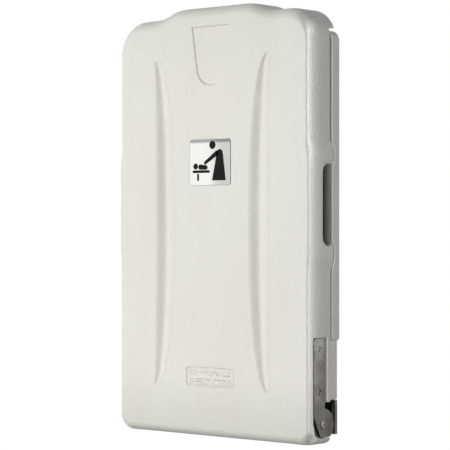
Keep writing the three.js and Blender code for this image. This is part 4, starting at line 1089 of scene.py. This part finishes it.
def screw(name, body, height, shank, facing):
    """A screw in place of its CAD node, with its head towards the side, the front or the wall."""
    span = Span(name)
    ends = {"right": (0, span.right, -1), "left": (0, span.left, 1),
            "front": (1, span.far, -1), "wall": (1, span.near, 1)}
    if facing == "side":
        facing = "right" if span.x > 0 else "left"
    axis, top, inward = ends[facing]
    length = (span.right - span.left, span.far - span.near)[axis]
    head = (span.high - span.low) / 2
    lines = [padded_lines(middle - head, middle + head, SCREW_MARGIN, SCREW_STEP)
             for middle in (span.x, span.depth, span.z)]
    levels = grid_lines(
        (-SCREW_MARGIN, SCREW_STEP), (height + SHANK_START, SHANK_STEP), length + SCREW_MARGIN)
    lines[axis] = np.sort(top + inward * levels)
    x, depth, z = open_grid(lines)
    down = ((x, depth)[axis] - top) * inward
    aside = (depth - span.depth, x - span.x)[axis]
    field = screw_field(down, aside, z - span.z, head, height, shank, length)
    fit_piece(skin("look_" + name, field, lines), body, "dark_steel", screw_steel, name)


def screws():
    for start, facts in SCREWS.items():
        for name in [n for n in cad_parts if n.startswith(start)]:
            screw(name, *facts)


# Safety strap and its buckle

def strap(hand):
    """Woven strap lying on the tray: crosswise ribs between two plain selvedges."""
    span = Span(f"strap_{hand}")
    spans = ((span.left, span.right), (span.near, span.far), (span.low, span.high))
    lines = [padded_lines(*ends, *grid) for ends, grid in zip(spans, STRAP_GRID)]
    x, depth, z = open_grid(lines)
    edge = (span.high - span.low) / 2 - np.abs(z - span.z)
    wave = 0.5 + 0.5 * np.cos(2 * np.pi * x / RIB_PITCH)
    ribs = RIB_DEPTH * wave * smooth_step((edge - SELVEDGE) / RIB_FADE)
    sides = both(-edge, np.abs(x - span.x) - (span.right - span.left) / 2)
    slab = both(span.near + ribs - depth, depth - span.far)
    piece = skin(f"strap_web_{hand}", both(sides, slab, STRAP_ROUND), lines)
    fit_piece(piece, BED, "webbing", webbing, f"strap_{hand}")


def strap_anchor(hand):
    span = Span(f"strap_anchor_{hand}")
    pin = Span(f"strap_anchor_screw_{hand}")
    face = rounded_rectangle(span.left, span.right, span.low, span.high, ANCHOR_CORNER)
    hole = circle((pin.x, pin.z), (pin.high - pin.low) / 2 + CLEARANCE, ANCHOR_HOLE_STEPS)
    piece = plate(f"anchor_plate_{hand}", [face, hole], span.near, span.far, PLASTIC_BEVEL, FACING_FRONT)
    fit_piece(piece, BED, "black_plastic", black_plastic, f"strap_anchor_{hand}")


def buckle():
    """Side-release buckle: a socket with two windows that show the plug's prongs."""
    socket, plug = Span("buckle_socket"), Span("buckle_plug")
    way = 1 if plug.x > socket.x else -1
    join = socket.right if way > 0 else socket.left
    half = (socket.high - socket.low) / 2
    rows = (socket.z - WINDOW_ROW * half, socket.z + WINDOW_ROW * half)
    window_start, window_stop = (join - way * end for end in WINDOW_ENDS)
    windows = [capsule((window_start, row), (window_stop, row), WINDOW_RADIUS, WINDOW_RADIUS)
               for row in rows]
    face = rounded_rectangle(socket.left, socket.right, socket.low, socket.high, BUCKLE_CORNER)
    body = plate("buckle_body", [face] + windows, socket.near, socket.far, BUCKLE_BEVEL, FACING_FRONT)
    fit_piece(body, BED, "black_plastic", black_plastic, "buckle_socket")

    left, right = sorted((join + way * BUCKLE_GAP, plug.right if way > 0 else plug.left))
    middle = (left + right) / 2
    slot_reach = BUCKLE_SLOT_ROW * half
    slot = capsule((middle, plug.z - slot_reach), (middle, plug.z + slot_reach),
                   BUCKLE_SLOT_RADIUS, BUCKLE_SLOT_RADIUS)
    grip = rounded_rectangle(left, right, plug.low, plug.high, BUCKLE_CORNER)
    head = plate("buckle_head", [grip, slot], plug.near, plug.far, BUCKLE_BEVEL, FACING_FRONT)
    fit_piece(head, BED, "black_plastic", black_plastic, "buckle_plug")

    tip, root = join - way * PRONG_ENDS[0], join + way * PRONG_ENDS[1]
    prongs = [capsule((tip, row), (root, row), PRONG_RADIUS, PRONG_RADIUS) for row in rows]
    tongue = plate("buckle_prongs", prongs, plug.depth - PRONG_HALF, plug.depth + PRONG_HALF,
                   PRONG_BEVEL, FACING_FRONT)
    fit_piece(tongue, BED, "black_plastic", black_plastic)


# CAD nodes that keep their shape, by their finish and by how their names start: a later row wins

KEPT_FINISHES = (
    (grey_plastic, ("wall_back_plate", "gas_spring_anchor")),
    (arm_steel, ("wall_bracket",)),
    (bar_steel, ("hinge_rail", "hinge_rod", "gas_spring_rod", "gas_spring_anchor_pin",
                 "liner_lock_barrel")),
    (screw_steel, ("gas_spring_stud", "liner_lock_cam")),
    (black_plastic, ("gas_spring_cylinder",)),
    (rubber, ("rest_bumper",)),
    (bearing_plastic, ("hinge_bush", "thrust_washer")),
)


def finish_kept_nodes():
    for material, starts in KEPT_FINISHES:
        for name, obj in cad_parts.items():
            if name.startswith(starts):
                obj.data.materials.clear()
                obj.data.materials.append(material)


# Stage

def direct_sight(tree):
    """One for a ray from the camera, straight, mirrored or through glass, and nothing for other light."""
    path = node(tree, "ShaderNodeLightPath").outputs
    seen = combine(tree, "MAXIMUM", path["Is Camera Ray"], path["Is Glossy Ray"])
    return combine(tree, "MAXIMUM", seen, path["Is Transmission Ray"])


def stage():
    world = bpy.data.worlds.new("studio")
    bpy.context.scene.world = world
    world.use_nodes = True
    tree = world.node_tree
    strength = spread(tree, direct_sight(tree), AMBIENT, 1)
    set_inputs(tree, tree.nodes["Background"], {"Color": WHITE, "Strength": strength})

    floor_mesh = bpy.data.meshes.new("floor")
    shaped = bmesh.new()
    bmesh.ops.create_circle(shaped, cap_ends=True, segments=FLOOR_STEPS, radius=FLOOR_RADIUS)
    shaped.to_mesh(floor_mesh)
    shaped.free()
    floor = add("floor", floor_mesh)
    floor.location = FLOOR_PLACE
    material, tree, shader, place = new_material("floor_paint")
    speckle = noise(tree, place, 60, 3)
    paint = ramp(tree, speckle, [(0.3, (0.8, 0.8, 0.79)), (0.7, (0.84, 0.84, 0.83))])
    glow = spread(tree, direct_sight(tree), 0, FLOOR_GLOW)
    set_inputs(tree, shader, {"Base Color": paint, "Roughness": 0.9, "Emission Color": WHITE,
                              "Emission Strength": glow})
    floor_mesh.materials.append(material)


def lamp(name, azimuth, elevation, distance, size, energy, shine_only):
    """A soft box, size given as width and height, aimed at the target."""
    light = bpy.data.lights.new(name, "AREA")
    light.shape = "RECTANGLE"
    light.size, light.size_y = size
    light.energy = energy
    obj = add(name, light)
    turn, tilt = math.radians(azimuth), math.radians(elevation)
    away = Vector((math.sin(turn) * math.cos(tilt), -math.cos(turn) * math.cos(tilt), math.sin(tilt)))
    obj.location = TARGET + away * distance
    obj.rotation_euler = away.to_track_quat("Z", "Y").to_euler()
    obj.visible_diffuse = not shine_only


def camera():
    lens = bpy.data.cameras.new("camera")
    lens.lens = CAMERA_LENS
    lens.sensor_width = SENSOR_WIDTH
    lens.shift_x, lens.shift_y = CAMERA_SHIFT
    obj = add("camera", lens)
    away = Vector((math.sin(CAMERA_AZIMUTH), -math.cos(CAMERA_AZIMUTH), 0))
    obj.location = TARGET + CAMERA_DISTANCE * away
    obj.rotation_euler = (math.pi / 2, 0, CAMERA_AZIMUTH)
    bpy.context.scene.camera = obj


bpy.context.scene.view_settings.view_transform = "Standard"
camera()
stage()
for lamp_name, facts in LAMPS.items():
    lamp(lamp_name, *facts)
finish_kept_nodes()
bed_shell()
tray_dish()
wall_pan()
liner_door()
sign_and_pictogram()
hinge_arms()
screws()
for each_hand in SIDES:
    grip_scoop(each_hand)
    strap(each_hand)
    strap_anchor(each_hand)
buckle()
